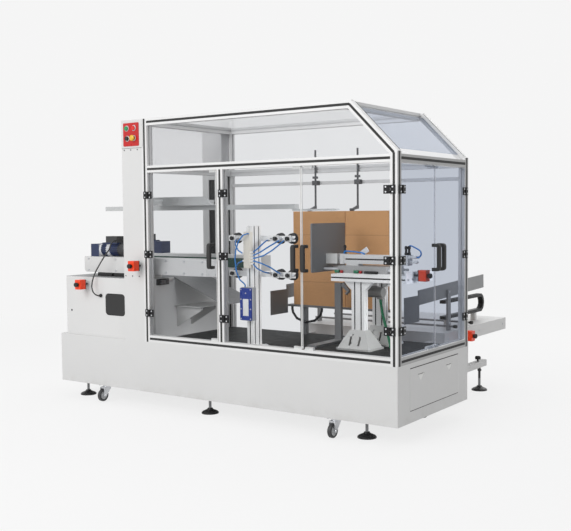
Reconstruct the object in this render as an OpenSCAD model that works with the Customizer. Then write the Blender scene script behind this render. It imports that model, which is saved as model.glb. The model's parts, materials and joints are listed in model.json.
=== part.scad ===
/* [Base cabinet] */
// Length of the base cabinet
base_l = 2415; // [2300:5:2600]
// Depth of the base cabinet, front to back
base_w = 825; // [800:5:950]
// Height of the base cabinet
base_h = 300; // [280:5:360]
// Bend radius of the cabinet's sheet corners
sheet_r = 4; // [2:0.5:8]
// Clearance from the floor to the underside of the base
leg_h = 104; // [96:1:130]
// Thickness of the deck plate inside the enclosure
deck_t = 6; // [4:1:12]
// Width of the access panel on the right end
access_w = 562; // [500:2:640]
// Height of the access panel on the right end
access_h = 210; // [180:2:240]
// Thickness of the access panel
access_t = 2; // [1.5:0.5:4]
// Height of the access panel's lower edge
access_z = 62; // [50:1:76]
// Distance between the finger pulls' left corners
pull_pitch = 333; // [300:1:360]
// Height of the finger pulls' lower corner
pull_z = 199; // [190:1:206]
// Depth of the finger pulls
pull_d = 13; // [8:1:20]
// Width of a triangular finger pull
pull_w = 76; // [60:2:90]
// Height of a triangular finger pull
pull_h = 36; // [30:1:46]

/* [Enclosure frame] */
// Width of the slotted aluminium profile
prof = 40; // [36:1:45]
// Width of the profile's slot
slot_w = 8; // [6:1:10]
// Depth of the profile's slot
slot_d = 5; // [4:0.5:7]
// Height of the enclosure above the base
frame_h = 1306; // [1250:2:1400]
// Size of the sloping corner at the discharge end's opposite side
chamfer = 260; // [200:5:320]
// Height of the middle rails above the base, to their underside
mid_z = 993; // [950:1:1010]
// Distance from the base's left end to the left post
left_post = 735; // [720:1:780]
// Distance from the left post to the middle post
mid_post_pitch = 562; // [520:1:600]
// Thickness of the clear panels
panel_t = 5; // [4:0.5:6]
// Height of the rail across the back above the base
back_rail_z = 922; // [880:1:940]
// Height of the rail across the back
back_rail_h = 20; // [16:1:26]

/* [Doors] */
// Thickness of a clear door
door_t = 6; // [5:0.5:8]
// Gap round a door
door_gap = 6; // [5.5:0.5:8]
// Height of a hinge leaf
leaf_h = 42; // [36:1:50]
// Width of a hinge leaf
leaf_w = 24.5; // [22:0.5:28]
// Thickness of a hinge leaf
leaf_t = 6; // [6:0.5:8]
// Radius of a hinge barrel
barrel_r = 5; // [4.5:0.1:5.5]
// Radius of a hinge pin
pin_r = 2.5; // [2:0.1:3]
// Running clearance on the pins
pin_clear = 0.05; // [0.02:0.01:0.08]
// Distance between hinges along a door
hinge_pitch = 345; // [330:1:400]
// Length of a door handle
handle_l = 139; // [120:1:160]
// Reach of a door handle off the door
handle_reach = 42; // [36:1:50]
// Thickness of the handle's grip
grip_t = 13; // [11:0.5:16]
// Width of a handle, across its grip
grip_w = 20; // [16:1:24]
// Distance from a door's free edge to its handle
handle_inset = 24; // [20:1:40]
// Length of a door catch
catch_l = 50; // [40:1:60]
// Height of a door catch
catch_h = 14; // [10:1:18]

/* [Discharge end] */
// Distance from the base's left end to the discharge cabinet
cabinet_x = 50; // [40:1:70]
// Height of the discharge cabinet above the base
cabinet_h = 367; // [350:1:380]
// Set-back of the discharge cabinet's faces from the base
cabinet_back = 8; // [4:1:14]
// Distance from the base's left end to the columns
column_x = 573; // [560:1:590]
// Depth of a column, front to back
column_d = 90; // [80:1:94]
// Width of the red operator panel
operator_w = 125; // [110:1:140]
// Height of the red operator panel
operator_h = 136; // [120:1:150]
// Thickness of the operator panel and its back plate
operator_t = 3; // [2:0.5:5]
// Height of the control plate behind the operator panel
control_h = 164; // [158:1:180]
// Thickness of the control plate
control_t = 2; // [1.5:0.5:4]
// Radius of a push-button head
button_r = 15; // [12:0.5:17]
// Width of the black window in the discharge cabinet
window_w = 168; // [150:1:175]
// Height of the black window in the discharge cabinet
window_h = 134; // [120:1:150]
// Height of the black window's lower edge above the base
window_z = 137; // [120:1:180]
// Depth of the black window's recess
window_d = 3; // [2:0.5:6]
// Corner radius of the cabinet's window recess
window_r = 26; // [15:1:35]
// Thickness of the flap ramp's sheet
ramp_t = 4; // [3:0.5:6]
// Width of the flap ramp, front to back
ramp_w = 300; // [260:5:330]
// Distance from the flap ramp to the left side guide
ramp_gap = 180; // [150:5:220]
// Drop of the flap ramp along its length
ramp_drop = 150; // [130:2:170]
// Drop from the cabinet's top to the shelf under the ramp
shelf_drop = 181; // [170:1:200]
// Length of the shelf under the ramp
shelf_l = 206; // [180:2:230]
// Height of the shelf's brackets
shelf_h = 124; // [100:2:140]

/* [Side belts] */
// Distance from the base's left end to the belt housings
belt_x = 122; // [100:1:140]
// Distance from the belt housings to the carton blank
belt_gap = 190; // [160:5:240]
// Radius of a belt housing's lower corner
belt_r = 20; // [10:1:30]
// Distance from the base's front to the front belt housing
belt_y = 100; // [98:1:120]
// Depth of a belt housing, front to back
belt_d = 96; // [90:1:110]
// Height of a belt housing
belt_h = 98; // [90:1:104]
// Clear height from the discharge cabinet up to a belt housing
belt_lift = 23; // [18:1:30]
// Thickness of a side belt
belt_t = 5; // [4:0.5:8]
// Height of a side belt
belt_band = 60; // [50:1:80]
// Radius of a drive motor
motor_r = 43; // [38:0.5:48]
// Length of a drive motor
motor_l = 290; // [260:1:320]
// Distance from the belt housing's left end to a motor
motor_in = 56; // [50:1:80]
// Length of a motor's gearbox
gear_l = 72; // [60:1:84]
// Thickness of a motor's flange
flange_t = 14; // [8:1:20]
// Length of a motor's end cowl
cowl_l = 46; // [40:1:60]
// Depth of a motor's cooling ribs
fin_d = 5; // [3:0.5:7]
// Thickness of a motor's cooling ribs
fin_t = 3; // [2:0.5:4]
// Length of a motor's terminal box
term_l = 96; // [80:1:110]
// Height of a motor's terminal box
term_h = 40; // [34:1:48]

/* [Carton hold-down beam] */
// Distance from the base's left end to the beam
beam_x = 111; // [90:1:130]
// Length of the beam
beam_l = 1500; // [1400:5:1560]
// Distance from the base's front to the beam
beam_y = 300; // [290:1:330]
// Height of the beam above the base
beam_z = 773; // [770:1:800]
// Height of the beam's section
beam_h = 28; // [24:1:34]
// Length of the flat nose at the beam's right end
nose_l = 290; // [250:5:310]
// Thickness of the flat nose
nose_t = 10; // [6:1:12]
// Length of the trough sheet over the beam
trough_l = 480; // [400:5:500]

/* [Suction unit] */
// Distance from the middle post's left side to the suction column
suction_in = 125; // [110:1:140]
// Distance from the base's front to the suction column
suction_y = 100; // [96:1:110]
// Height of the suction column above the base
suction_h = 682; // [660:1:700]
// Height of the upper suction arm above the base
upper_arm_z = 596; // [580:1:620]
// Distance between the suction arms
arm_pitch = 200; // [180:1:210]
// Thickness of a suction arm
arm_t = 14; // [10:1:18]
// Height of a suction arm
arm_h = 30; // [26:1:36]
// Radius of a suction cup
cup_r = 31; // [26:0.5:34]
// Length of a suction cup
cup_l = 34; // [28:1:38]
// Radius of an air tube
tube_r = 4; // [3:0.5:5]
// Radius of an air hose
hose_r = 8; // [6:0.5:10]

/* [Pusher] */
// Distance from the pusher plate to the base's right end
push_in = 671; // [640:1:690]
// Distance of the pusher's centre line behind the base's middle
push_off = 17.5; // [10:0.5:30]
// Width of the pusher plate
push_w = 350; // [320:2:360]
// Height of the pusher plate
push_h = 270; // [250:2:290]
// Thickness of the pusher plate
push_t = 8; // [6:1:12]
// Height of the pusher's lower rail above the base
push_rail_z = 375; // [360:1:390]
// Length of the pusher's lower rail
push_rail_l = 458; // [440:2:464]
// Side of the cylinder's square body
cyl_s = 50; // [46:1:56]
// Length of the cylinder's body
cyl_l = 420; // [400:2:440]
// Radius of the cylinder's rod
rod_r = 10; // [8:0.5:12]
// Radius of a guide rod
guide_r = 7; // [6:0.5:8]
// Distance of the guide rods from the centre line
guide_off = 50; // [46:1:54]
// Length of the guide bar that the guide rods run through
bar_l = 300; // [280:2:310]
// Height of the guide bar
bar_h = 39; // [34:1:44]
// Thickness of the carrier plate across the rails
carrier_t = 6; // [5:0.5:10]
// Distance from the blank's front to the pusher's back rail
rail_clear = 124; // [120:1:130]
// Running clearance of the rod and guide rods
rod_clear = 0.3; // [0.1:0.05:0.5]
// Width of a cast post foot
foot_w = 196; // [180:2:210]
// Depth of a cast post foot
foot_d = 150; // [130:2:160]
// Height of a cast post foot
cast_h = 96; // [80:2:110]
// Thickness of the plate under a post foot
plate_t = 8; // [6:1:12]
// Leg of the corner brackets under the rails
corner_l = 44; // [38:1:50]
// Radius of the bolt holes in a post foot
bolt_r = 4.5; // [3.5:0.5:6]
// Stroke of the pusher
stroke = 300; // [250:5:320]

/* [Magazine] */
// Length of the magazine tray, front to back
tray_l = 935; // [880:5:960]
// Height of the magazine tray
tray_h = 75; // [60:1:90]
// Width of the magazine tray
tray_w = 990; // [970:2:1010]
// Distance from the tray's right side to the base's right end
tray_in = 175; // [150:1:190]
// Distance from the base's back to the tray
tray_gap = 75; // [60:1:90]
// Height of the tray's underside above the floor side of the base
tray_z = 275; // [260:1:290]
// Wall of the tray's sheet
tray_wall = 4; // [3:0.5:6]
// Distance from the tray's sides to the side guides
guide_in = 50; // [40:1:60]
// Thickness of a side guide's sheet
guide_t = 4; // [3:0.5:6]
// Distance from the side guides' far ends to the tray's end
guide_end = 260; // [240:5:280]
// Height of the deeper plate at a side guide's front end
nose_h = 146; // [130:2:160]
// Length of the deeper plate at a side guide's front end
nose_plate = 178; // [160:1:190]
// Overlap of a side guide's front end and the deeper plate there
nose_lap = 10; // [6:1:20]
// Height of that plate's top over the side guides' far underside
nose_up = 20; // [0:1:30]
// Radius of the adjusting spindles across the magazine
spindle_r = 6; // [5:0.5:8]
// Height of the adjusting spindles over the tray
spindle_z = 24; // [18:1:30]
// Length of a magazine foot beam
leg_l = 840; // [780:5:880]
// Distance from a magazine foot beam's far end to its levelling foot
leg_back = 72; // [40:1:90]
// Height of a magazine foot beam's underside
leg_z = 48; // [40:1:80]
// Distance from the tray's sides to its legs
leg_in = 60; // [50:1:80]
// Length of a side guide
guide_l = 915; // [895:1:935]
// Rise of the side guides towards the back, in degrees
guide_tilt = 2.2; // [0:0.1:4]
// Height of a side guide
guide_h = 84; // [70:1:96]
// Height of the side guides over the tray's top
guide_lift = 216; // [200:1:230]
// Length of the carton blank's face
blank_w = 662; // [600:2:690]
// Height of the carton blank's face
blank_h = 570; // [520:2:600]
// Height of the blank's closing flaps
flap_h = 142; // [120:2:160]
// Width of the cuts between the blank's flaps
flap_cut = 4; // [3:0.5:6]
// Distance from the blank's left edge to the cuts between its flaps
flap_x = 369; // [300:1:400]
// Distance from the left side guide to the blank
blank_in = 22; // [16:1:30]
// Distance from the blank's front face to the base's back
blank_back = 121; // [110:1:130]
// Height of the blank's lower edge above the base
blank_lift = 190; // [180:1:200]
// Thickness of the folded carton blank
blank_t = 8; // [6:1:12]
// Pitch of the cable chain's links
link_p = 24; // [20:1:30]
// Width of the cable chain
chain_w = 34; // [28:1:40]
// Bend radius of the cable chain
chain_r = 48; // [44:1:52]

/* [Position indicators] */
// Width of an indicator box
ind_w = 48; // [40:1:54]
// Height of an indicator box
ind_h = 60; // [52:1:66]
// Depth of an indicator box
ind_d = 48; // [40:1:52]
// Length of the shaft from the machine to the box
ind_shaft = 28; // [22:1:34]
// Radius of an indicator's shaft
ind_r = 6; // [5:0.5:8]
// Radius of an indicator's knob
knob_r = 14; // [12:0.5:18]
// Length of an indicator's knob
knob_l = 22; // [18:1:30]

/* [Feet and casters] */
// Radius of a levelling foot's pad
pad_r = 50; // [40:1:54]
// Radius of a levelling foot's stem
stem_r = 8; // [7:0.5:10]
// Distance from the base's front to the front row of feet
foot_in = 125; // [110:1:140]
// Distance from the base's left end to the left casters
caster_left = 357; // [340:1:400]
// Distance from the base's right end to the right casters
caster_right = 383; // [360:1:400]
// Distance from the base's front and back to the casters
caster_edge = 46; // [44:1:60]
// Radius of a caster wheel
wheel_r = 37.5; // [35:0.5:38]
// Width of a caster wheel
wheel_w = 26; // [24:1:30]
// Clearance of the caster wheels over the floor
wheel_lift = 3; // [2:0.5:6]
// Trail of a caster wheel behind its swivel
trail = 33; // [30:1:36]
// Radius of a caster's axle
axle_r = 4; // [3:0.5:5]
// Radius of a caster's king pin
king_r = 6; // [5:0.5:7]

/* [Hidden] */
$fn = 40;
deck_z = base_h + deck_t;
frame_top = base_h + frame_h;
frame_back = base_w - prof;
right_post = base_l - prof;
mid_post = left_post + mid_post_pitch;
mid_rail = base_h + mid_z;
mitre = prof * tan(22.5);
ridge_x = base_l - chamfer;
bend_z = frame_top - chamfer;
door_z0 = base_h + prof + door_gap;
door_z1 = mid_rail - door_gap;
door_h = door_z1 - door_z0;
front_split = (mid_post + prof + right_post) / 2;
end_split = base_w / 2;
cabinet_top = base_h + cabinet_h;
belt_z = cabinet_top + belt_lift;
belt_back_y = base_w - belt_y - belt_d;
belt_top = belt_z + belt_h;
ind_reach = ind_shaft + ind_d + knob_l;
tray_y = base_w + tray_gap;
tray_end = tray_y + tray_l;
tray_top = tray_z + tray_h;
tray_right = base_l - tray_in;
tray_x = tray_right - tray_w;
left_guide = tray_x + guide_in;
right_guide = tray_right - guide_in;
guide_y = tray_end - guide_end - guide_l;
guide_z = tray_top + guide_lift;
blank_x = left_guide + blank_in;
blank_y = base_w - blank_back;
blank_z = base_h + blank_lift;
blank_top = blank_z + blank_h;
belt_l = blank_x - belt_gap - belt_x;
suction_x = mid_post + suction_in;
push_x = base_l - push_in;
push_y = base_w / 2 + push_off;
push_z = base_h + push_rail_z;
rail_x = push_x + 71;
rail_end = rail_x + push_rail_l;
rail_y = push_y - 2 * prof;
rail_back = blank_y - rail_clear;
carrier_z = push_z + prof + carrier_t;
bar_x = push_x + push_t + 102;
guide_rod_z = carrier_z + bar_h / 2;
cyl_z = carrier_z + bar_h + 10;
cyl_x = push_x + push_t + 88;
end_plate_t = 8;

// The box's middle in plan, so that the origin sits on the floor under it
mid_x = (base_l + handle_reach) / 2;
mid_y = (tray_end - ind_reach) / 2;

WHITE = "gainsboro";
STEEL = "darkgray";
BLACK = "#202020";
SILVER = "silver";
CLEAR = [0.85, 0.93, 0.95, 0.35];

// Hinge side, width and position of every door: [x, y, turn, flip, width]
DOORS = [
    [left_post + prof + door_gap / 2, 0, 0, 0, mid_post - left_post - prof - 2 * door_gap],
    [mid_post + prof + door_gap / 2, 0, 0, 0, front_split - mid_post - prof - 1.5 * door_gap],
    [right_post - door_gap / 2, 0, 0, 1, right_post - front_split - 1.5 * door_gap],
    [base_l, prof + door_gap / 2, 90, 0, end_split - prof - 1.5 * door_gap],
    [base_l, frame_back - door_gap / 2, 90, 1, frame_back - end_split - 1.5 * door_gap]
];

// Swivel centres of the casters
CASTERS = [
    for (y = [caster_edge, base_w - caster_edge]) for (x = [caster_left, base_l - caster_right]) [x, y]
];

// Centres of the levelling feet under the base
FEET = [for (y = [foot_in, base_w - foot_in]) for (x = [105, 1124, base_l - 245]) [x, y]];

// Left sides of the magazine's foot beams
LEG_X = [tray_x + leg_in, tray_right - leg_in - prof];

// Place and direction of the indicators: [x, y, z, turn]
INDICATORS = [
    [left_post - 30, 0, base_h + 449, 0],
    [cabinet_x + 189, cabinet_back, base_h + 322, 0],
    [rail_end + end_plate_t, push_y + 14, push_z + prof / 2 + 20, 90],
    [tray_right, tray_y + 0.25 * tray_l, tray_z + tray_h / 2, 90]
];

module place() {
    translate([-mid_x, -mid_y, leg_h]) children();
}

// A square with true arcs at its corners
module rounded(w, h, r) {
    translate([r, 0]) square([w - 2 * r, h]);
    translate([0, r]) square([w, h - 2 * r]);
    for (x = [r, w - r]) for (y = [r, h - r]) translate([x, y]) circle(r);
}

// Section of a slotted profile, one slot to each module of every face
module section(w, h) {
    difference() {
        square([w, h]);
        for (i = [0 : round(w / prof) - 1]) translate([(i + 0.5) * prof - slot_w / 2, 0]) {
            translate([0, -1]) square([slot_w, slot_d + 1]);
            translate([0, h - slot_d]) square([slot_w, slot_d + 1]);
        }
        for (i = [0 : round(h / prof) - 1]) translate([0, (i + 0.5) * prof - slot_w / 2]) {
            translate([-1, 0]) square([slot_d + 1, slot_w]);
            translate([w - slot_d, 0]) square([slot_d + 1, slot_w]);
        }
    }
}

module profile_x(len, w = prof, h = prof) {
    rotate([90, 0, 90]) linear_extrude(len) section(w, h);
}

module profile_y(len, w = prof, h = prof) {
    translate([0, len, 0]) rotate([90, 0, 0]) linear_extrude(len) section(w, h);
}

module profile_z(len, w = prof, h = prof) {
    linear_extrude(len) section(w, h);
}

// A flat shape drawn in X and Z, given thickness along Y
module upright(y, t) {
    translate([0, y + t, 0]) rotate([90, 0, 0]) linear_extrude(t) children();
}

// A flat shape drawn in Y and Z, given thickness along X
module crosswise(x, t) {
    translate([x, 0, 0]) rotate([90, 0, 90]) linear_extrude(t) children();
}

module triangle_pull() {
    polygon([[0, pull_h], [pull_w, pull_h], [pull_w / 2, 0]]);
}

// The finger pulls, centred on the cabinet's right end
module pulls() {
    for (s = [-1, 1]) translate([(base_w - pull_w + s * pull_pitch) / 2, pull_z]) triangle_pull();
}

module base_cabinet() {
    color(WHITE) place() difference() {
        union() {
            linear_extrude(base_h) rounded(base_l, base_w, sheet_r);
            crosswise(base_l - 1, access_t + 1) translate([(base_w - access_w) / 2, access_z])
                rounded(access_w, access_h, sheet_r);
        }
        crosswise(base_l + access_t - pull_d, pull_d + 1) pulls();
    }
}

module deck_plate() {
    color("dimgray") place() translate([left_post + prof, prof, base_h])
        cube([right_post - left_post - prof, frame_back - prof, deck_t]);
}

// One levelling foot from the floor up to height h
module foot(h) {
    rotate_extrude($fn = 48) polygon([
        [0, 0], [pad_r, 0], [pad_r, 6], [pad_r - 6, 12], [18, 24], [15, 30],
        [stem_r, 30], [stem_r, h], [0, h]
    ]);
    translate([0, 0, h - 26]) cylinder(r = stem_r * 1.7, h = 12, $fn = 6);
}

module levelling_feet() {
    color(BLACK) place() translate([0, 0, -leg_h]) {
        for (f = FEET) translate([f[0], f[1], 0]) foot(leg_h);
        for (x = LEG_X) translate([x + prof / 2, base_w + leg_l - leg_back, 0]) foot(leg_h + leg_z);
    }
}

module caster_plates() {
    color(SILVER) place() for (c = CASTERS) translate([c[0], c[1], -3]) {
        translate([-39, -36, 0]) cube([78, 72, 3]);
        translate([0, 0, -11]) cylinder(r = king_r, h = 11);
    }
}

axle_z = -leg_h + wheel_lift + wheel_r;

module caster_fork(i) {
    c = CASTERS[i];
    gap = wheel_w / 2 + 3;
    color(SILVER) place() translate([c[0], c[1], 0]) {
        difference() {
            translate([0, 0, -14]) cylinder(r = 24, h = 10);
            translate([0, 0, -15]) cylinder(r = king_r + pin_clear, h = 12);
        }
        translate([-gap - 3, -trail - 6, -17.5]) cube([2 * gap + 6, trail + 26, 3.5]);
        for (s = [0, 1]) mirror([s, 0, 0]) crosswise(gap, 3) polygon([
            [-trail - 6, -14], [20, -14], [16, -26], [-trail + 9, axle_z - 7], [-trail - 9, axle_z - 7],
            [-trail - 9, axle_z + 6]
        ]);
        translate([-gap - 6, -trail, axle_z]) rotate([0, 90, 0]) cylinder(r = axle_r, h = 2 * gap + 12);
    }
}

module caster_wheel(i) {
    c = CASTERS[i];
    color(BLACK) place() translate([c[0], c[1] - trail, axle_z]) rotate([0, 90, 0])
        translate([0, 0, -wheel_w / 2]) rotate_extrude($fn = 64) polygon([
            [axle_r + pin_clear, 0], [12, 0], [14, 4], [25, 4], [27, 1], [wheel_r - 4, 1],
            [wheel_r, 5], [wheel_r, wheel_w - 5], [wheel_r - 4, wheel_w - 1], [27, wheel_w - 1],
            [25, wheel_w - 4], [14, wheel_w - 4], [12, wheel_w], [axle_r + pin_clear, wheel_w]
        ]);
}

module discharge_cabinet() {
    color(WHITE) place() translate([cabinet_x, cabinet_back, base_h]) difference() {
        linear_extrude(cabinet_h)
            rounded(left_post - cabinet_x, base_w - 2 * cabinet_back, sheet_r);
        for (y = [-1, base_w - 2 * cabinet_back - column_d + cabinet_back])
            translate([column_x - cabinet_x, y, -1])
                cube([left_post - column_x + 1, column_d - cabinet_back + 1, cabinet_h + 2]);
        upright(-1, window_d + 1) translate([column_x - 6 - window_w - cabinet_x, window_z])
            rounded(window_w, window_h, window_r);
    }
}

module column(y) {
    translate([column_x, y, base_h]) cube([left_post - column_x, column_d, frame_h]);
}

ramp_y = (base_w - ramp_w) / 2;
ramp_end = left_guide - ramp_gap;
ramp_v = ramp_t * 1.1;
shelf_z = cabinet_top - shelf_drop;

// Ramp that turns the leading flaps up, over a shelf on triangular brackets
module flap_ramp() {
    color("dimgray") place() {
        upright(ramp_y, ramp_w) polygon([
            [left_post, cabinet_top], [ramp_end, cabinet_top - ramp_drop],
            [ramp_end, cabinet_top - ramp_drop - ramp_v], [left_post, cabinet_top - ramp_v]
        ]);
        translate([left_post, ramp_y, shelf_z]) cube([shelf_l, ramp_w, ramp_t]);
        for (y = [ramp_y + 20, base_w / 2]) upright(y, ramp_t) polygon([
            [left_post, shelf_z], [left_post + shelf_l, shelf_z], [left_post + shelf_l, shelf_z - 14],
            [left_post + 12, shelf_z - shelf_h], [left_post, shelf_z - shelf_h]
        ]);
    }
}

// The front column with its control plate, and the back one with a groove
module side_columns() {
    color(WHITE) place() {
        column(0);
        translate([column_x, -control_t, frame_top - control_h])
            cube([left_post + slot_w - column_x, control_t, control_h]);
        difference() {
            column(base_w - column_d);
            translate([column_x + 52, base_w - column_d - 1, belt_top])
                cube([50, 9, mid_rail - belt_top - 20]);
        }
    }
}

op_x = column_x + (left_post - column_x - operator_w) / 2;
op_z = frame_top - operator_h - 18;

module operator_panel() {
    color("firebrick") place() upright(-control_t - operator_t, operator_t)
        translate([op_x, op_z]) rounded(operator_w, operator_h, 6);
}

module push_buttons() {
    color("red") place() for (x = [0.28, 0.72]) for (z = [0.3, 0.72])
        translate([op_x + x * operator_w, -control_t - operator_t, op_z + z * operator_h])
        rotate([90, 0, 0]) {
            cylinder(r = button_r + 4, h = 4);
            cylinder(r = button_r, h = z > 0.5 || x < 0.5 ? 16 : 26);
        }
}

// Front and back outlines of the frame's sloping corner, mitred at both bends
module slope_outline() {
    polygon([
        [ridge_x, frame_top], [base_l, bend_z],
        [right_post, bend_z - mitre], [ridge_x - mitre, frame_top - prof]
    ]);
}

// The middle line of the slot along the mitred front and back faces
module slot_line(y) {
    a = [ridge_x - mitre / 2, frame_top - prof / 2];
    b = [right_post + prof / 2, bend_z - mitre / 2];
    translate([a[0], y, a[1]]) rotate([0, 45, 0]) translate([0, 0, -slot_w / 2])
        cube([norm(b - a), slot_d, slot_w]);
}

win_low = mid_rail + prof - slot_d;
win_high = frame_top - prof + slot_d;
win_left = left_post + prof - slot_d;

// Upper front and back windows of thickness t, reaching into the frame's slots
module upper_windows(t) {
    diag = slot_d * tan(22.5);
    for (y = [prof / 2, base_w - prof / 2]) upright(y - t / 2, t) polygon([
        [win_left, win_low], [right_post + slot_d, win_low], [right_post + slot_d, bend_z - mitre + diag],
        [ridge_x - mitre + diag, win_high], [win_left, win_high]
    ]);
}

module roof_pane(t) {
    translate([win_left, prof - slot_d, frame_top - prof / 2 - t / 2])
        cube([ridge_x - mitre - prof + slot_d - win_left, frame_back - prof + 2 * slot_d, t]);
}

module end_pane(t) {
    crosswise(left_post + prof / 2 - t / 2, t) translate([prof - slot_d, win_low])
        square([frame_back - prof + 2 * slot_d, win_high - win_low]);
}

// Channels that the fixed panels sit in
module panel_channels() {
    upper_windows(slot_w);
    roof_pane(slot_w);
    end_pane(slot_w);
}

module posts_raw() {
    for (y = [0, frame_back]) {
        translate([left_post, y, base_h]) profile_z(frame_h);
        intersection() {
            translate([right_post, y, base_h]) profile_z(frame_h);
            upright(y - 1, prof + 2) polygon([
                [right_post - 1, base_h - 1], [base_l + 1, base_h - 1], [base_l + 1, bend_z],
                [base_l, bend_z], [right_post, bend_z - mitre], [right_post - 1, bend_z - mitre]
            ]);
        }
    }
    translate([mid_post, 0, base_h + prof]) profile_z(mid_z - prof);
}

module frame_posts() {
    color(SILVER) place() difference() {
        posts_raw();
        panel_channels();
    }
}

module top_rail(y) {
    intersection() {
        translate([left_post + prof, y, frame_top - prof]) profile_x(ridge_x - left_post);
        upright(y - 1, prof + 2) polygon([
            [left_post, frame_top - prof - 1], [ridge_x - mitre, frame_top - prof - 1],
            [ridge_x - mitre, frame_top - prof], [ridge_x, frame_top], [ridge_x, frame_top + 1],
            [left_post, frame_top + 1]
        ]);
    }
}

module slope_rail(y) {
    difference() {
        upright(y, prof) slope_outline();
        slot_line(y - 0.01);
        slot_line(y + prof - slot_d + 0.01);
    }
}

module long_rails() {
    color(SILVER) place() {
        difference() {
            for (y = [0, frame_back]) {
                top_rail(y);
                translate([left_post + prof, y, mid_rail]) profile_x(right_post - left_post - prof);
            }
            upright(-1, base_w + 2) slope_outline();
            panel_channels();
        }
        translate([left_post + prof, 0, base_h]) profile_x(right_post - left_post - prof);
        translate([left_post + prof, frame_back + prof / 2 - back_rail_h / 2, base_h + back_rail_z])
            cube([right_post - left_post - prof, back_rail_h, back_rail_h]);
    }
}

module cross_rails() {
    color(SILVER) place() difference() {
        union() {
            for (x = [left_post, ridge_x - mitre - prof])
                translate([x, prof, frame_top - prof]) profile_y(frame_back - prof);
            for (x = [left_post, right_post]) translate([x, prof, mid_rail]) profile_y(frame_back - prof);
            translate([right_post, prof, base_h]) profile_y(frame_back - prof);
        }
        panel_channels();
    }
}

module slope_rails() {
    color(SILVER) place() difference() {
        for (y = [0, frame_back]) slope_rail(y);
        panel_channels();
    }
}

module slope_panel() {
    inset = prof / 2 + panel_t / 2;
    run = (chamfer - 1.2 * prof) * sqrt(2);
    bite = slot_d - 0.5;
    translate([ridge_x, prof - bite, frame_top]) rotate([0, 45, 0]) translate([0.5 * prof, 0, -inset])
        cube([run, frame_back - prof + 2 * bite, panel_t]);
}

module clear_panels() {
    color(CLEAR) place() {
        upper_windows(panel_t);
        roof_pane(panel_t);
        slope_panel();
    }
}

module end_wall() {
    color("lightgray") place() end_pane(panel_t);
}

// Puts a door's own frame on the machine: hinge pin's edge at the origin, outside towards -Y
module at_door(i) {
    d = DOORS[i];
    translate([d[0], d[1], 0]) rotate([0, 0, d[2]]) mirror([d[3], 0, 0]) children();
}

module door_panel(i) {
    color(CLEAR) place() at_door(i) translate([door_gap / 2, 0, door_z0]) cube([DOORS[i][4], door_t, door_h]);
}

HINGE_Z = [for (k = [-1 : 1]) (door_z0 + door_z1) / 2 + k * hinge_pitch];
knuckle_h = leaf_h / 3;
leaf_in = barrel_r + 1.5;

// A hinge leaf on the side s of the pin, without its knuckles
module leaf(s) {
    translate([s > 0 ? leaf_in : -leaf_in - leaf_w, -leaf_t, -leaf_h / 2]) cube([leaf_w, leaf_t, leaf_h]);
}

// One knuckle and the web that ties it to the leaf on side s
module knuckle(s, z, h) {
    translate([0, -leaf_t, z]) cylinder(r = barrel_r, h = h);
    translate([s > 0 ? 0 : -leaf_in - 1, -leaf_t - barrel_r + 1, z]) cube([leaf_in + 1, 2 * barrel_r - 2, h]);
}

module fixed_leaf() {
    leaf(-1);
    for (z = [-leaf_h / 2, leaf_h / 2 - knuckle_h]) knuckle(-1, z, knuckle_h);
    translate([0, -leaf_t, -leaf_h / 2]) cylinder(r = pin_r, h = leaf_h);
}

module moving_leaf() {
    h = knuckle_h - 0.8;
    difference() {
        union() {
            leaf(1);
            knuckle(1, -h / 2, h);
        }
        translate([0, -leaf_t, -leaf_h]) cylinder(r = pin_r + pin_clear, h = 2 * leaf_h);
    }
}

// A bow handle whose grip stands off the door, drawn in depth and height
module handle() {
    half = handle_l / 2;
    corner = grip_t;
    crosswise(-grip_w / 2, grip_w) polygon([
        [0, -half], [0, -half + grip_t], [-handle_reach + grip_t, -half + grip_t],
        [-handle_reach + grip_t, half - grip_t], [0, half - grip_t], [0, half],
        [-handle_reach + corner, half], [-handle_reach, half - corner],
        [-handle_reach, -half + corner], [-handle_reach + corner, -half]
    ]);
}

module door_fittings(i) {
    color(BLACK) place() at_door(i) {
        for (z = HINGE_Z) translate([0, 0, z]) moving_leaf();
        translate([DOORS[i][4] - handle_inset, 0, (door_z0 + door_z1) / 2]) handle();
    }
}

module hinge_leaves() {
    color(BLACK) place() for (i = [0 : len(DOORS) - 1]) at_door(i)
        for (z = HINGE_Z) translate([0, 0, z]) fixed_leaf();
}

module door_catches() {
    color("whitesmoke") place() for (i = [0 : len(DOORS) - 1]) at_door(i)
        for (z = [base_h + prof, mid_rail - catch_h])
            translate([DOORS[i][4] - catch_l - 4, 2 * door_t, z]) cube([catch_l, 18, catch_h]);
}

// A housing's side view, with its lower left corner rounded
module housing_outline() {
    translate([belt_r, 0]) square([belt_l - belt_r, belt_h]);
    translate([0, belt_r]) square([belt_l, belt_h - belt_r]);
    translate([belt_r, belt_r]) circle(belt_r);
}

module belt_housings() {
    color("lightgray") place() for (y = [belt_y, belt_back_y]) {
        upright(y, belt_d) translate([belt_x, belt_z]) housing_outline();
        for (x = [column_x + 40, left_post - 70])
            translate([x, y, cabinet_top]) cube([30, belt_d, belt_lift]);
    }
}

// A belt loop that lies on a housing's inner face, with round ends
module belt_loop(y) {
    r = belt_band / 2;
    upright(y, belt_t) translate([belt_x + 12, belt_z + belt_h / 2 - r])
        rounded(belt_l - 24, 2 * r, r - 0.01);
}

module side_belts() {
    color("darkgreen") place() {
        belt_loop(belt_y + belt_d);
        belt_loop(belt_back_y - belt_t);
    }
}

// Section of a motor's body with cooling ribs all round
module ribbed_section() {
    ribs = 24;
    circle(motor_r - fin_d);
    for (k = [0 : ribs - 1]) rotate(360 * k / ribs) translate([0, -fin_t / 2]) square([motor_r, fin_t]);
}

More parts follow.
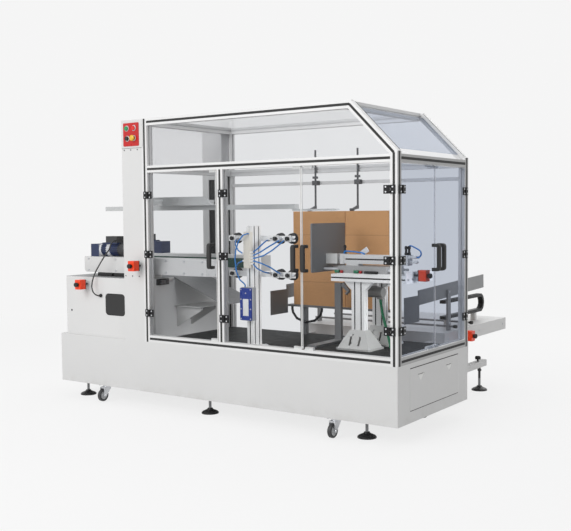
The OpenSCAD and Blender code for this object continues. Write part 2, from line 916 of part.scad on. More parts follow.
// A gearbox, its flange, a ribbed body and an end cowl in line, with a terminal box on top
module motor() {
    body_x = gear_l + flange_t;
    cowl_x = motor_l - cowl_l;
    foot_h = motor_r + 2;
    color("midnightblue") {
        translate([0, -motor_r, -foot_h]) cube([gear_l, 2 * motor_r, foot_h + motor_r * 0.8]);
        translate([gear_l, 0, 0]) rotate([0, 90, 0]) cylinder(r = motor_r, h = flange_t);
        translate([body_x, 0, 0]) rotate([0, 90, 0]) linear_extrude(cowl_x - body_x) ribbed_section();
        translate([cowl_x, 0, 0]) rotate([0, 90, 0]) rotate_extrude() polygon([
            [0, 0], [motor_r, 0], [motor_r, cowl_l - 12], [motor_r - 4, cowl_l - 4], [motor_r - 12, cowl_l],
            [0, cowl_l]
        ]);
        translate([gear_l + 49, -30, motor_r - 8]) cube([term_l, 60, term_h + 8]);
    }
}

// The front motor points along the belt and the back one the other way
module drive_motors() {
    place() translate([0, belt_d / 2, belt_top + motor_r + 2]) {
        translate([belt_x + motor_in, belt_y, 0]) motor();
        translate([motor_l, belt_back_y, 0]) mirror([1, 0, 0]) motor();
    }
}

// Points of the motor's lead, from the terminal box down to the cabinet's gland
LEAD = [
    [385, 118, 888], [385, 100, 886], [385, 80, 872], [388, 60, 838], [380, 42, 812], [368, 24, 780],
    [352, 8, 742], [338, -8, 704], [328, -20, 666], [324, -28, 634], [326, -32, 606], [334, -32, 582],
    [346, -26, 565], [358, -14, 556], [364, -4, 555], [364, cabinet_back, 555]
];
lead_r = 4;
LEAD_SIDES = 8;

function unit(v) = v / norm(v);
function tangent(p, i) = unit(p[min(i + 1, len(p) - 1)] - p[max(i - 1, 0)]);

// A ring of points round point i of a route, square to it
function ring(p, i, r, n) =
    let (t = tangent(p, i), a = unit(cross(t, [1, 0.3, 0.2])), b = cross(t, a))
    [for (k = [0 : n - 1]) p[i] + r * (cos(360 * k / n) * a + sin(360 * k / n) * b)];

module tube(p, r, n) {
    last = len(p) - 1;
    points = [for (i = [0 : last]) each ring(p, i, r, n)];
    sides = [for (i = [0 : last - 1]) for (k = [0 : n - 1])
        [i * n + k, i * n + (k + 1) % n, (i + 1) * n + (k + 1) % n, (i + 1) * n + k]];
    start = [for (k = [n - 1 : -1 : 0]) k];
    end = [for (k = [0 : n - 1]) last * n + k];
    polyhedron(points, concat(sides, [start, end]));
}

module motor_lead() {
    color("dimgray") place() tube(LEAD, lead_r, LEAD_SIDES);
}

module hold_down_beam() {
    color(SILVER) place() {
        translate([beam_x, beam_y, base_h + beam_z]) cube([beam_l, prof, beam_h]);
        translate([beam_x + beam_l - 20, beam_y + 4, base_h + beam_z - nose_t])
            cube([nose_l, prof - 8, nose_t]);
        translate([column_x + 60, column_d, base_h + beam_z + beam_h]) profile_y(base_w - 2 * column_d);
        upright(beam_y - 60, 3) polygon([
            [column_x + 20, base_h + beam_z + beam_h], [column_x + 20 + trough_l, base_h + beam_z + beam_h],
            [column_x - 50 + trough_l, base_h + beam_z + beam_h + 52],
            [column_x + 20, base_h + beam_z + beam_h + 52]
        ]);
        translate([column_x + 20, beam_y - 60, base_h + beam_z + beam_h]) cube([trough_l, 160, 3]);
    }
}

CUP_X = [suction_x - 154, suction_x + 148, suction_x + 230];
arm_y = suction_y + 2 * prof;

// An arm with a long slot at every cup
module suction_arm() {
    difference() {
        translate([CUP_X[0] - 34, 0, 0]) cube([CUP_X[2] - CUP_X[0] + 68, arm_t, arm_h]);
        for (x = [CUP_X[0], CUP_X[1] - 30, CUP_X[2] + 14])
            translate([x - 12, -1, arm_h / 2 - 5]) cube([36, arm_t + 2, 10]);
    }
}

module suction_column() {
    color(SILVER) place() {
        translate([suction_x, suction_y, deck_z]) profile_z(suction_h - deck_t, prof, 2 * prof);
        translate([suction_x - 30, suction_y - 20, deck_z]) cube([prof + 60, 2 * prof + 40, 10]);
        for (k = [0, 1]) translate([0, arm_y, base_h + upper_arm_z - k * arm_pitch]) suction_arm();
        translate([suction_x - 14, suction_y - 40, base_h + 162]) linear_extrude(182) rounded(80, 42, 10);
        translate([suction_x + 2, suction_y - 30, base_h + 450]) cube([42, 31, 200]);
    }
}

module suction_cups() {
    color(BLACK) place() for (k = [0, 1]) for (x = CUP_X)
        translate([x, arm_y + arm_t, base_h + upper_arm_z - k * arm_pitch + arm_h / 2]) rotate([-90, 0, 0])
            rotate_extrude() polygon([
                [0, 0], [14, 0], [14, 8], [cup_r - 4, 9], [cup_r - 2, 14], [cup_r - 8, 18], [cup_r - 2, 22],
                [cup_r - 8, 26], [cup_r, cup_l], [cup_r - 6, cup_l], [10, cup_l - 6], [0, cup_l - 6]
            ]);
}

module valve_box() {
    color("mediumblue") place() upright(suction_y - 46, 6) translate([suction_x - 14, base_h + 164])
        rounded(80, 178, 5);
}

// Air tubes from the manifold to the arms and the valve, measured from the column's foot corner
FAN = [
    [[38, -30, 640], [38, -42, 640], [18, -54, 632], [-10, -58, 600], [-30, -58, 550], [-38, -56, 500],
        [-34, -48, 430], [-24, -34, 386], [-6, -18, 364], [0, -16, 356], [0, -16, 344]],
    [[44, -16, 538], [57, -16, 538], [78, 0, 558], [92, 30, 585], [96, 56, 600], [96, 66, 601],
        [96, 80, 601]],
    [[44, -16, 522], [62, -16, 522], [98, -8, 538], [138, 18, 568], [168, 48, 592], [176, 66, 601],
        [176, 80, 601]],
    [[44, -16, 506], [68, -16, 506], [123, -10, 520], [168, 12, 550], [200, 45, 586], [206, 66, 601],
        [206, 80, 601]],
    [[44, -16, 490], [62, -16, 490], [108, -8, 478], [150, 18, 455], [174, 50, 428], [180, 66, 421],
        [180, 80, 421]],
    [[44, -16, 474], [57, -16, 474], [78, -6, 448], [96, 24, 430], [104, 52, 422], [106, 66, 421],
        [106, 80, 421]],
    [[2, -16, 530], [-14, -16, 530], [-52, -8, 546], [-92, 18, 576], [-116, 50, 597], [-122, 66, 601],
        [-122, 80, 601]],
    [[2, -16, 490], [-14, -16, 490], [-52, -8, 476], [-92, 16, 452], [-116, 50, 428], [-122, 66, 421],
        [-122, 80, 421]]
];

// Hose from the hanging motor's terminal block down to the deck, measured from the pusher's rail
DROP = [
    [296, 75, -103], [296, 75, -115], [307, 75, -180], [331, 75, -263], [352, 75, -339], [356, 75, -355],
    [356, 75, -369]
];

// Hose under the blank's ledge, measured from the blank's lower front corner
SAG = [
    [-10, -4, -12], [-10, -4, -28], [-5, -4, -50], [23, -4, -85], [89, -4, -107], [155, -4, -92],
    [193, -4, -60], [206, -4, -28], [206, -4, -12]
];

module air_tubes() {
    color("steelblue") place() {
        translate([suction_x, suction_y, base_h]) for (p = FAN) tube(p, tube_r, LEAD_SIDES);
        translate([push_x, push_y, push_z]) tube(DROP, hose_r, LEAD_SIDES);
        translate([blank_x, blank_y, blank_z]) tube(SAG, hose_r, LEAD_SIDES);
    }
}

// A trapezium that stands on the deck, wide at its foot
module flare(top, foot, h) {
    polygon([[-foot / 2, 0], [foot / 2, 0], [top / 2, h], [-top / 2, h]]);
}

// A post in a cast foot with flared sides and three bolt holes, on a round-cornered plate
module post_with_foot(x, y, h) {
    translate([x, y, deck_z]) profile_z(h, 2 * prof, prof);
    translate([x + prof, y + prof / 2, deck_z]) {
        translate([-foot_w / 2 - 14, -foot_d / 2 - 14, 0])
            linear_extrude(plate_t) rounded(foot_w + 28, foot_d + 28, 30);
        translate([0, 0, plate_t]) difference() {
            intersection() {
                upright(-foot_d / 2, foot_d) flare(2 * prof + 16, foot_w, cast_h);
                crosswise(-foot_w / 2, foot_w) flare(prof + 16, foot_d, cast_h);
            }
            for (k = [0.3, 0.52, 0.74]) translate([-prof / 2, -prof / 2 - slot_d, k * cast_h])
                rotate([90, 0, 0]) cylinder(r = bolt_r, h = foot_d, $fn = 16);
            for (s = [0, 1]) mirror([s, 0, 0]) translate([prof * 0.55, -foot_d, cast_h * 0.16])
                cube([prof * 0.32, foot_d - prof / 2 - 12, cast_h * 0.5]);
        }
    }
    far = prof + corner_l;
    for (s = [0, 1]) translate([x + prof, y + 2, deck_z + h]) mirror([s, 0, 0]) upright(0, prof - 4)
        polygon([[prof, 0], [far, 0], [far, -6], [prof + 6, -corner_l], [prof, -corner_l]]);
}

post_h = push_z - deck_z;

// Two posts carry two rails, a carrier plate across them and the guide bar; a motor hangs below
module pusher_stand() {
    post_x = push_x + 190;
    motor_z = push_z - 66;
    color(SILVER) place() {
        for (y = [rail_y + 20, rail_back + 20]) post_with_foot(post_x, y, post_h);
        for (y = [rail_y, rail_back]) translate([rail_x, y, push_z]) profile_x(push_rail_l, 2 * prof, prof);
        translate([rail_end, rail_y, push_z]) cube([end_plate_t, rail_back + 2 * prof - rail_y, prof + 20]);
        translate([bar_x, rail_y, push_z + prof])
            cube([rail_end - bar_x - 40, rail_back + 2 * prof - rail_y, carrier_t]);
        translate([bar_x, 0, 0]) difference() {
            translate([0, push_y - guide_off - 20, carrier_z - 1])
                cube([bar_l, 2 * guide_off + 40, bar_h + 1]);
            for (s = [-1, 1]) translate([-1, push_y + s * guide_off, guide_rod_z]) rotate([0, 90, 0])
                cylinder(r = guide_r + rod_clear, h = bar_l + 2);
        }
        translate([post_x + 20, push_y + 75, motor_z]) rotate([0, 90, 0]) cylinder(r = 29, h = 104);
        translate([post_x + 50, push_y + 65, motor_z]) cube([40, 20, push_z + prof - motor_z + 1]);
        translate([post_x + 90, push_y + 63, motor_z - 37]) cube([32, 24, 37]);
    }
}

// A square cylinder with larger end caps, carried on the guide bar and on a block behind it
module pusher_cylinder() {
    cap_l = 26;
    cap = 3;
    cap_s = cyl_s + 2 * cap;
    groove_l = cyl_l - 2 * cap_l - 16;
    seat_z = carrier_z + bar_h;
    color(SILVER) place() {
        translate([cyl_x, push_y - cyl_s / 2, cyl_z]) difference() {
            union() {
                cube([cyl_l, cyl_s, cyl_s]);
                for (x = [0, cyl_l - cap_l]) translate([x, -cap, -cap]) cube([cap_l, cap_s, cap_s]);
            }
            translate([-1, cyl_s / 2, cyl_s / 2]) rotate([0, 90, 0])
                cylinder(r = rod_r + rod_clear, h = stroke + 80);
            for (y = [-cap - 1, cyl_s - 4]) translate([cap_l + 8, y, cyl_s / 2 - 4]) cube([groove_l, 8, 8]);
        }
        translate([bar_x + cap_l, push_y - cyl_s / 2, seat_z])
            cube([3 * cap_l, cyl_s, cyl_z - seat_z + 1]);
        translate([cyl_x + cyl_l - 90, push_y - cyl_s / 2, carrier_z])
            cube([40, cyl_s, cyl_z - carrier_z + 1]);
    }
}

// The plate, its rod-end block, the piston rod and two guide rods
module pusher_head() {
    back_x = push_x + push_t;
    color("dimgray") place() {
        crosswise(push_x, push_t) translate([push_y - push_w / 2, push_z + 48]) rounded(push_w, push_h, 8);
        translate([back_x, push_y - 30, cyl_z - 2]) cube([72, 60, cyl_s + 4]);
        translate([back_x + 72, push_y, cyl_z + cyl_s / 2]) rotate([0, 90, 0])
            cylinder(r = rod_r, h = stroke + 60);
        for (s = [-1, 1]) translate([back_x, push_y + s * guide_off, guide_rod_z]) rotate([0, 90, 0])
            cylinder(r = guide_r, h = bar_x - back_x + stroke + 70);
    }
}

// A dark flat post with a sensor on a slanting arm, on a flat bar across the deck
module sensor_post() {
    post_x = push_x - 44;
    post_y = push_y + 140;
    top_z = deck_z + 340;
    arm_x = post_x + 42;
    color("dimgray") place() {
        translate([post_x - 10, push_y - 130, deck_z]) cube([60, 400, 10]);
        translate([post_x, post_y, deck_z]) cube([42, 22, top_z - deck_z]);
        upright(post_y + 4, 14) polygon([
            [arm_x - 1, top_z - 10], [arm_x + 14, top_z + 4], [arm_x + 54, top_z - 40],
            [arm_x + 44, top_z - 52], [arm_x - 1, top_z - 18]
        ]);
        translate([arm_x + 40, post_y + 11, top_z - 54]) rotate([0, 45, 0])
            cylinder(r = 9, h = 26, center = true);
    }
}

ROD_X = [blank_x + 118, blank_x + 416];
rail_face = frame_back + prof / 2 - back_rail_h / 2;
rod_y = rail_face - 21;
roller_r = 8;

// Rods clamped to the back rail, each with a slanting finger and a roller on the blank's top edge
module hold_down_rods() {
    clamp_z = base_h + back_rail_z - 4;
    tip_z = blank_top + roller_r + 0.3;
    tip_y = blank_y + blank_t / 2;
    color("dimgray") place() for (x = ROD_X) translate([x, 0, 0]) {
        translate([0, rod_y, tip_z + 4]) cylinder(r = 6, h = clamp_z + 210 - tip_z);
        translate([-18, rod_y - 12, clamp_z]) cube([36, rail_face - rod_y + 12, back_rail_h + 8]);
        translate([-12, rod_y - 15, clamp_z + 40]) cube([24, 26, 14]);
        crosswise(-5, 10) polygon([
            [rod_y + 6, tip_z + 6], [rod_y + 6, tip_z + 24], [rod_y - 8, tip_z + 24], [tip_y, tip_z + 5],
            [tip_y, tip_z - 5]
        ]);
        translate([-13, tip_y, tip_z]) rotate([0, 90, 0]) cylinder(r = roller_r, h = 26);
    }
}

// The folded blank's face, with the cuts that part its closing flaps
module carton_blank() {
    color("peru") place() translate([blank_x, blank_y, blank_z]) difference() {
        cube([blank_w, blank_t, blank_h]);
        for (z = [-1, blank_h - flap_h]) translate([flap_x, -1, z]) cube([flap_cut, blank_t + 2, flap_h + 1]);
    }
}

module blank_ledge() {
    color(BLACK) place() {
        translate([blank_x - 40, blank_y - 20, blank_z - 12]) cube([blank_w + 80, 60, 12]);
        for (x = [blank_x + 40, blank_x + blank_w - 80])
            translate([x, blank_y + 10, deck_z]) cube([40, 30, blank_z - 12 - deck_z]);
    }
}

module magazine_tray() {
    color("lightgray") place() {
        translate([tray_x, tray_y, tray_z]) difference() {
            cube([tray_w, tray_l, tray_h]);
            translate([tray_wall, tray_wall, -1])
                cube([tray_w - 2 * tray_wall, tray_l - 2 * tray_wall, tray_h - tray_wall + 1]);
        }
        for (x = LEG_X) translate([x, base_w, tray_z - 60])
            cube([prof, tray_gap + tray_wall, 60 + base_h - tray_z]);
        for (y = [chain_y - 490, chain_y - 90])
            translate([chain_x - 14, y, tray_top - 1]) cube([28, 30, chain_z - tray_top + 1]);
    }
}

module magazine_legs() {
    post_z = leg_z + prof;
    color(WHITE) place() for (x = LEG_X) {
        translate([x, base_w, leg_z]) cube([prof, leg_l, prof]);
        translate([x, base_w + 0.6 * leg_l, post_z]) cube([prof, prof, tray_top - tray_wall - post_z]);
    }
}

GUIDE_POSTS = [tray_y + 0.13 * tray_l, tray_y + 0.375 * tray_l];

// A sheet guide on two posts that rises towards the back, with a deeper plate at its front end
module side_guide() {
    translate([0, guide_y + guide_l, guide_z]) rotate([guide_tilt, 0, 0]) translate([0, -guide_l, 0])
        cube([guide_t, guide_l, guide_h]);
    translate([0, guide_y + nose_lap - nose_plate, guide_z + nose_up - nose_h])
        cube([guide_t, nose_plate, nose_h]);
    for (y = GUIDE_POSTS) translate([guide_t - 1, y, tray_top]) cube([11, 40, guide_z - tray_top + 24]);
}

// Both guides and the adjusting spindles that carry them across the tray
module side_guides() {
    color("slategray") place() {
        translate([right_guide, 0, 0]) side_guide();
        translate([left_guide, 0, 0]) mirror([1, 0, 0]) side_guide();
        for (y = GUIDE_POSTS) translate([left_guide - 40, y + 20, tray_top + spindle_z]) rotate([0, 90, 0])
            cylinder(r = spindle_r, h = right_guide - left_guide + 80);
    }
}

chain_x = right_guide - 70;
chain_y = tray_end - 172;
chain_z = tray_top + 50;
CHAIN_RUN = 22;
CHAIN_TURN = floor(180 * chain_r * PI / 180 / link_p);

module chain_link() {
    translate([-chain_w / 2, -link_p / 2 - 1, -10]) difference() {
        cube([chain_w, link_p + 2, 20]);
        translate([4, 6, 4]) cube([chain_w - 8, link_p - 10, 20]);
    }
}

module cable_chain() {
    color(BLACK) place() translate([chain_x, chain_y, chain_z + 10]) {
        for (k = [0 : CHAIN_RUN]) translate([0, -k * link_p, 0]) rotate([180, 0, 0]) chain_link();
        for (k = [0 : CHAIN_TURN]) translate([0, 0, chain_r]) rotate([180 * k / CHAIN_TURN, 0, 0])
            translate([0, 0, -chain_r]) rotate([180, 0, 0]) chain_link();
        for (k = [0 : CHAIN_RUN]) translate([0, -k * link_p, 2 * chain_r]) chain_link();
    }
}

module at_indicator(i) {
    p = INDICATORS[i];
    translate([p[0], p[1], p[2]]) rotate([0, 0, p[3]]) children();
}

module indicator_boxes() {
    color("orangered") place() for (i = [0 : len(INDICATORS) - 1]) at_indicator(i) {
        rotate([90, 0, 0]) cylinder(r = ind_r, h = ind_reach - 4);
        difference() {
            upright(-ind_shaft - ind_d, ind_d) translate([-ind_w / 2, -ind_h / 2]) rounded(ind_w, ind_h, 5);
            translate([0, -ind_shaft - ind_d + 2, 0]) rotate([90, 0, 0]) cylinder(r = knob_r - 2, h = 10);
        }
    }
}

module indicator_knob(i) {
    color(BLACK) place() at_indicator(i) difference() {
        translate([0, -ind_shaft - ind_d - 0.4, 0]) rotate([90, 0, 0]) cylinder(r = knob_r, h = knob_l - 0.4);
        rotate([90, 0, 0]) cylinder(r = ind_r + pin_clear, h = ind_reach - 3);
    }
}

base_cabinet();
deck_plate();
levelling_feet();
caster_plates();
caster_fork(0);  // caster_fork_1
caster_fork(1);  // caster_fork_2
caster_fork(2);  // caster_fork_3
caster_fork(3);  // caster_fork_4
caster_wheel(0);  // caster_wheel_1
caster_wheel(1);  // caster_wheel_2
caster_wheel(2);  // caster_wheel_3
caster_wheel(3);  // caster_wheel_4
discharge_cabinet();
flap_ramp();
side_columns();
operator_panel();
push_buttons();
frame_posts();
long_rails();
cross_rails();
slope_rails();
clear_panels();
end_wall();
door_panel(0);  // front_door_1
door_panel(1);  // front_door_2
door_panel(2);  // front_door_3
door_panel(3);  // end_door_1
door_panel(4);  // end_door_2
door_fittings(0);  // door_fittings_1
door_fittings(1);  // door_fittings_2
door_fittings(2);  // door_fittings_3
door_fittings(3);  // door_fittings_4
door_fittings(4);  // door_fittings_5
hinge_leaves();
door_catches();
belt_housings();
side_belts();
drive_motors();
motor_lead();
hold_down_beam();
suction_column();
suction_cups();
valve_box();
air_tubes();
pusher_stand();
pusher_cylinder();
pusher_head();
sensor_post();
hold_down_rods();
carton_blank();
blank_ledge();
magazine_tray();
magazine_legs();
side_guides();
cable_chain();
indicator_boxes();
indicator_knob(0);  // indicator_knob_1
indicator_knob(1);  // indicator_knob_2
indicator_knob(2);  // indicator_knob_3
indicator_knob(3);  // indicator_knob_4
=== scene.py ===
import json
import math

import bmesh
import bpy
import numpy as np
from bpy.props import FloatProperty, FloatVectorProperty, IntProperty, PointerProperty
from mathutils import Matrix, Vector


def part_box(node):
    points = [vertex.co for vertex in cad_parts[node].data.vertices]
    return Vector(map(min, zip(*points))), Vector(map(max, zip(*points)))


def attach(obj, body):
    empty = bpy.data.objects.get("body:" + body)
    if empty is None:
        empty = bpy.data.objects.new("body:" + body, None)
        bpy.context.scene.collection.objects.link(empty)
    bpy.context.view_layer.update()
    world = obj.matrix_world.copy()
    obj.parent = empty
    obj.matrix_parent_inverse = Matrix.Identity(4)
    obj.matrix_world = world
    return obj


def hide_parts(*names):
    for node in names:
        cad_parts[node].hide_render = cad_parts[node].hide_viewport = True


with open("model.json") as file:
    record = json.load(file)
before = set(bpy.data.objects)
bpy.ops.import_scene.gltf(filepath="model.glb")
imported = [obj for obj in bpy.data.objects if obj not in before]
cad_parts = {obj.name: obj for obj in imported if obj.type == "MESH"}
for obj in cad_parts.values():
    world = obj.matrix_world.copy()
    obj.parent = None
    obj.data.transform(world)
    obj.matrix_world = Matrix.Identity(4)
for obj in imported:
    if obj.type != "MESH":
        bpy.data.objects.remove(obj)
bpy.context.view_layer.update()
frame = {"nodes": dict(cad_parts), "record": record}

bl_info = {
    "name": "Case erector finish",
    "version": (1, 0, 0),
    "blender": (4, 5, 0),
    "location": "View3D > Sidebar > Case erector",
    "description": "Gives the packed case erector its finishes, small fittings, stage and camera",
    "category": "Object",
}

# The corner of the base cabinet that every place below is measured from, in metres
CORNER = np.array(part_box("base_cabinet")[0])
MM = 0.001
X, Y, Z = np.eye(3)
JOINTS = {j["name"]: j for j in frame["record"]["behaviour"]["joints"]}
# The casters and the indicators are numbered from one to four
NUMBERS = (1, 2, 3, 4)


def spot(x, y, z):
    """A place in millimetres from the base's left front lower corner, as metres in the part's frame."""
    return CORNER + np.array((x, y, z)) * MM


def local(point):
    """The reverse of spot: millimetres from the base's corner."""
    return (np.array(point) - CORNER) / MM


def metres(name, text, value):
    """A length property."""
    return FloatProperty(name=name, description=text, default=value, unit="LENGTH")


def degrees(name, text, value):
    """An angle property, given here in degrees."""
    return FloatProperty(name=name, description=text, default=math.radians(value), subtype="ANGLE")


def colour(name, text, value):
    """A colour property in linear red, green and blue."""
    return FloatVectorProperty(name=name, description=text, default=value, subtype="COLOR", min=0, max=1)


class ErectorSizes(bpy.types.PropertyGroup):
    """Sizes of the small fittings, in metres unless they say otherwise."""

    profile: metres("Profile", "Width of the slotted profile", 0.040)
    # The dark strips over the slots and along the slope rails are painted shade of the slots
    slot_shade_w: metres("Slot width", "Width of the dark cover strip over a profile's slot", 0.0130)
    slope_shade_w: metres("Gasket width", "Width of the gaskets along the slope's sheet", 0.0045)
    slot_rise: metres("Strip height", "Height of the cover strip's face over the profile's face", 0.0009)
    screw_r: metres("Screw head", "Radius of a hinge screw's head", 0.0044)
    trim_r: metres("Trim screw", "Radius of a small screw's head on cabinets and plates", 0.0040)
    bolt_r: metres("Bolt head", "Radius of a frame bolt's head", 0.0065)
    edge_w: metres("Edge strip", "Width of the pale strip on a door's free edge", 0.003)
    lead_r: metres("Motor lead", "Radius of the motor's lead and of the air lines", 0.004)
    button_r: metres("Push-button", "Radius of a push-button's cap", 0.0135)
    lens: FloatProperty(
        name="Lens", description="Focal length on a 36 mm wide sensor, in millimetres", default=56.87)
    azimuth: degrees("Azimuth", "Camera's turn to the right of the front", 35.128)
    elevation: degrees("Elevation", "Camera's angle above the horizon", 3.359)
    roll: degrees("Roll", "Camera's roll", -0.503)
    camera: FloatVectorProperty(
        name="Camera", description="Camera's place in the part's frame", default=(3.2386, -4.7232, 1.1578),
        subtype="TRANSLATION")
    sides: IntProperty(name="Sides", description="Sides of a round fitting", default=20, min=8, max=48)


class ErectorColours(bpy.types.PropertyGroup):
    """Base colours of the finishes."""

    paint: colour("Paint", "Light grey cabinet paint", (0.645, 0.645, 0.642))
    aluminium: colour("Aluminium", "Anodised profile", (0.71, 0.71, 0.71))
    # Painted light: the profiles inside the frame take a paler copy of the aluminium, making up for the shade
    # of the frame and its doors
    bright: colour("Bright aluminium", "Profiles inside the frame", (0.86, 0.86, 0.85))
    steel: colour("Steel", "Zinc plate and chrome", (0.62, 0.63, 0.65))
    deck: colour("Deck", "Deck plate inside the frame", (0.030, 0.032, 0.032))
    plate: colour("Plate", "Grey guide, pusher and ramp plates", (0.22, 0.225, 0.23))
    cast: colour("Cast", "Cast feet of the pusher", (0.46, 0.46, 0.445))
    dark: colour("Black plastic", "Handles, hinges and chain", (0.007, 0.007, 0.008))
    rubber: colour("Rubber", "Feet and suction cups", (0.018, 0.018, 0.019))
    tread: colour("Tread", "Caster tyres", (0.035, 0.035, 0.037))
    red: colour("Red", "Operator panel", (0.50, 0.012, 0.012))
    orange: colour("Orange", "Indicator boxes", (0.90, 0.055, 0.008))
    navy: colour("Navy", "Drive motors", (0.010, 0.022, 0.075))
    blue: colour("Blue", "Valve plate", (0.006, 0.034, 0.27))
    carton: colour("Carton", "Corrugated board", (0.72, 0.385, 0.170))
    white: colour("White", "Catches and end blocks", (0.80, 0.80, 0.78))
    belt: colour("Belt", "Side belts", (0.020, 0.060, 0.045))
    lead: colour("Lead", "Motor lead's sheath", (0.035, 0.035, 0.038))
    tube: colour("Tube", "Air tubes", (0.025, 0.22, 0.62))
    hose: colour("Hose", "Green hose at the pusher", (0.03, 0.24, 0.11))
    tint: colour("Tint", "What the upper acrylic lets through", (0.925, 0.93, 0.938))
    # The front doors' and end doors' tints are darker than the upper acrylic's: the acrylic's own tint with
    # painted shade of what lies behind the doors
    door_tint_and_shade: colour("Door tint", "What the front doors' acrylic lets through", (0.82, 0.83, 0.845))
    end_tint_and_shade: colour("End tint", "What the end doors' acrylic lets through", (0.57, 0.61, 0.69))
    milk: colour("Milk", "Hazy sheet of the left end", (0.78, 0.78, 0.80))
    backdrop: colour("Backdrop", "Floor and background", (0.915, 0.915, 0.915))


def sizes():
    """The sizes that the operators read."""
    return bpy.context.scene.erector_sizes


def colours():
    """The colours that the materials read."""
    return bpy.context.scene.erector_colours


# Shapes


def quads(rows, cols):
    """Faces of a grid of rows by cols points that closes on itself along each row."""
    i, j = np.meshgrid(np.arange(rows - 1), np.arange(cols), indexing="ij")
    k = (j + 1) % cols
    return np.stack([i * cols + j, i * cols + k, (i + 1) * cols + k, (i + 1) * cols + j], -1).reshape(-1, 4)


def turned(profile, sides):
    """A profile of radius and height turned about Z: each point goes to (r cos t, r sin t, h)."""
    t = np.linspace(0, 2 * np.pi, sides, endpoint=False)
    r, h = np.array(profile, float).T
    ring = np.stack([np.outer(r, np.cos(t)), np.outer(r, np.sin(t)), np.outer(h, np.ones(sides))], -1)
    return ring.reshape(-1, 3), quads(len(r), sides)


def outline(width, height, radius, steps=4):
    """A rectangle with round corners, as quarter arcs about four corner centres."""
    t = np.linspace(0, np.pi / 2, steps)
    corner = np.array([[1, 1], [-1, 1], [-1, -1], [1, -1]])
    arc = [np.stack([np.cos(t + q * np.pi / 2), np.sin(t + q * np.pi / 2)], -1) * radius for q in range(4)]
    half = np.array([width / 2 - radius, height / 2 - radius])
    return np.concatenate([c * half + a for c, a in zip(corner, arc)])


def axes_along(direction, hint):
    """Two directions square to the given one, the second nearest to the hint."""
    d = direction / np.linalg.norm(direction)
    a = np.cross(hint, d)
    a = a / np.linalg.norm(a)
    return a, np.cross(d, a)


def bar(start, end, section, hint, edge=0.0):
    """A closed section carried from start to end, its ends drawn in by the edge and closed at the middle."""
    a, b = axes_along(end - start, hint)
    d = (end - start) / np.linalg.norm(end - start)
    loop = section[:, :1] * a + section[:, 1:] * b
    shrink = 1 - edge / np.abs(section).max()
    stations = [(start, 0), (start, shrink), (start + d * edge, 1),
                (end - d * edge, 1), (end, shrink), (end, 0)]
    grid = np.stack([p + loop * s for p, s in stations])
    return grid.reshape(-1, 3), quads(len(stations), len(section))


def block(low, high, radius=0.001):
    """A box between two corners in millimetres from the base's corner, its upright edges rounded."""
    a, b = spot(*low), spot(*high)
    middle, size = (a + b) / 2, b - a
    foot, top = middle.copy(), middle.copy()
    foot[2], top[2] = a[2], b[2]
    return bar(foot, top, outline(size[0], size[1], min(radius, size[0] / 3, size[1] / 3), 3), Y, radius / 2)


def smooth_path(points, per_span=6):
    """A curve through the points: on each span a cubic whose slopes are half the step between neighbours."""
    p = np.concatenate([[2 * points[0] - points[1]], points, [2 * points[-1] - points[-2]]])
    t = np.linspace(0, 1, per_span, endpoint=False)[:, None, None]
    a, b, c, d = p[:-3], p[1:-2], p[2:-1], p[3:]
    curve = 0.5 * (2 * b + (c - a) * t + (2 * a - 5 * b + 4 * c - d) * t**2 + (3 * b - a - 3 * c + d) * t**3)
    return np.concatenate([curve.transpose(1, 0, 2).reshape(-1, 3), points[-1:]])


def capped(rings):
    """Rings of points closed at both ends by one more ring, drawn in to the middle of the last."""
    ends = [np.repeat(rings[i].mean(0)[None, None], rings.shape[1], 1) for i in (0, -1)]
    grid = np.concatenate([ends[0], rings, ends[1]])
    return grid.reshape(-1, 3), quads(*grid.shape[:2])


def tube(path, radius, sides):
    """A circle carried along a path in planes square to it, turned as little as the path allows."""
    step = np.gradient(path, axis=0)
    step = step / np.linalg.norm(step, axis=1)[:, None]
    across = np.empty_like(step)
    across[0] = axes_along(step[0], np.array((0.3, 0.2, 1.0)))[0]
    for i in range(1, len(path)):
        swept = across[i - 1] - step[i] * (across[i - 1] @ step[i])
        across[i] = swept / np.linalg.norm(swept)
    other = np.cross(step, across)
    t = np.linspace(0, 2 * np.pi, sides, endpoint=False)[:, None, None]
    ring = path + radius * (np.cos(t) * across + np.sin(t) * other)
    return capped(ring.transpose(1, 0, 2))


def stamped(shape, places, normals):
    """Copies of a shape, its Z turned to each normal and its origin moved to each place, as one array."""
    verts, faces = shape
    n = np.array(normals, float)
    n = n / np.linalg.norm(n, axis=1)[:, None]
    hint = np.where(np.abs(n[:, 2:]) > 0.9, X, Z)
    a = np.cross(hint, n)
    a = a / np.linalg.norm(a, axis=1)[:, None]
    moved = verts @ np.stack([a, np.cross(n, a), n], 1) + np.array(places)[:, None]
    shift = np.arange(len(n))[:, None, None] * len(verts)
    return moved.reshape(-1, 3), (faces[None] + shift).reshape(-1, 4)


# Points nearer to each other than this, in metres, are merged; edges bent by more than this stay sharp
MERGED = 1e-6
SHARP = math.radians(35)


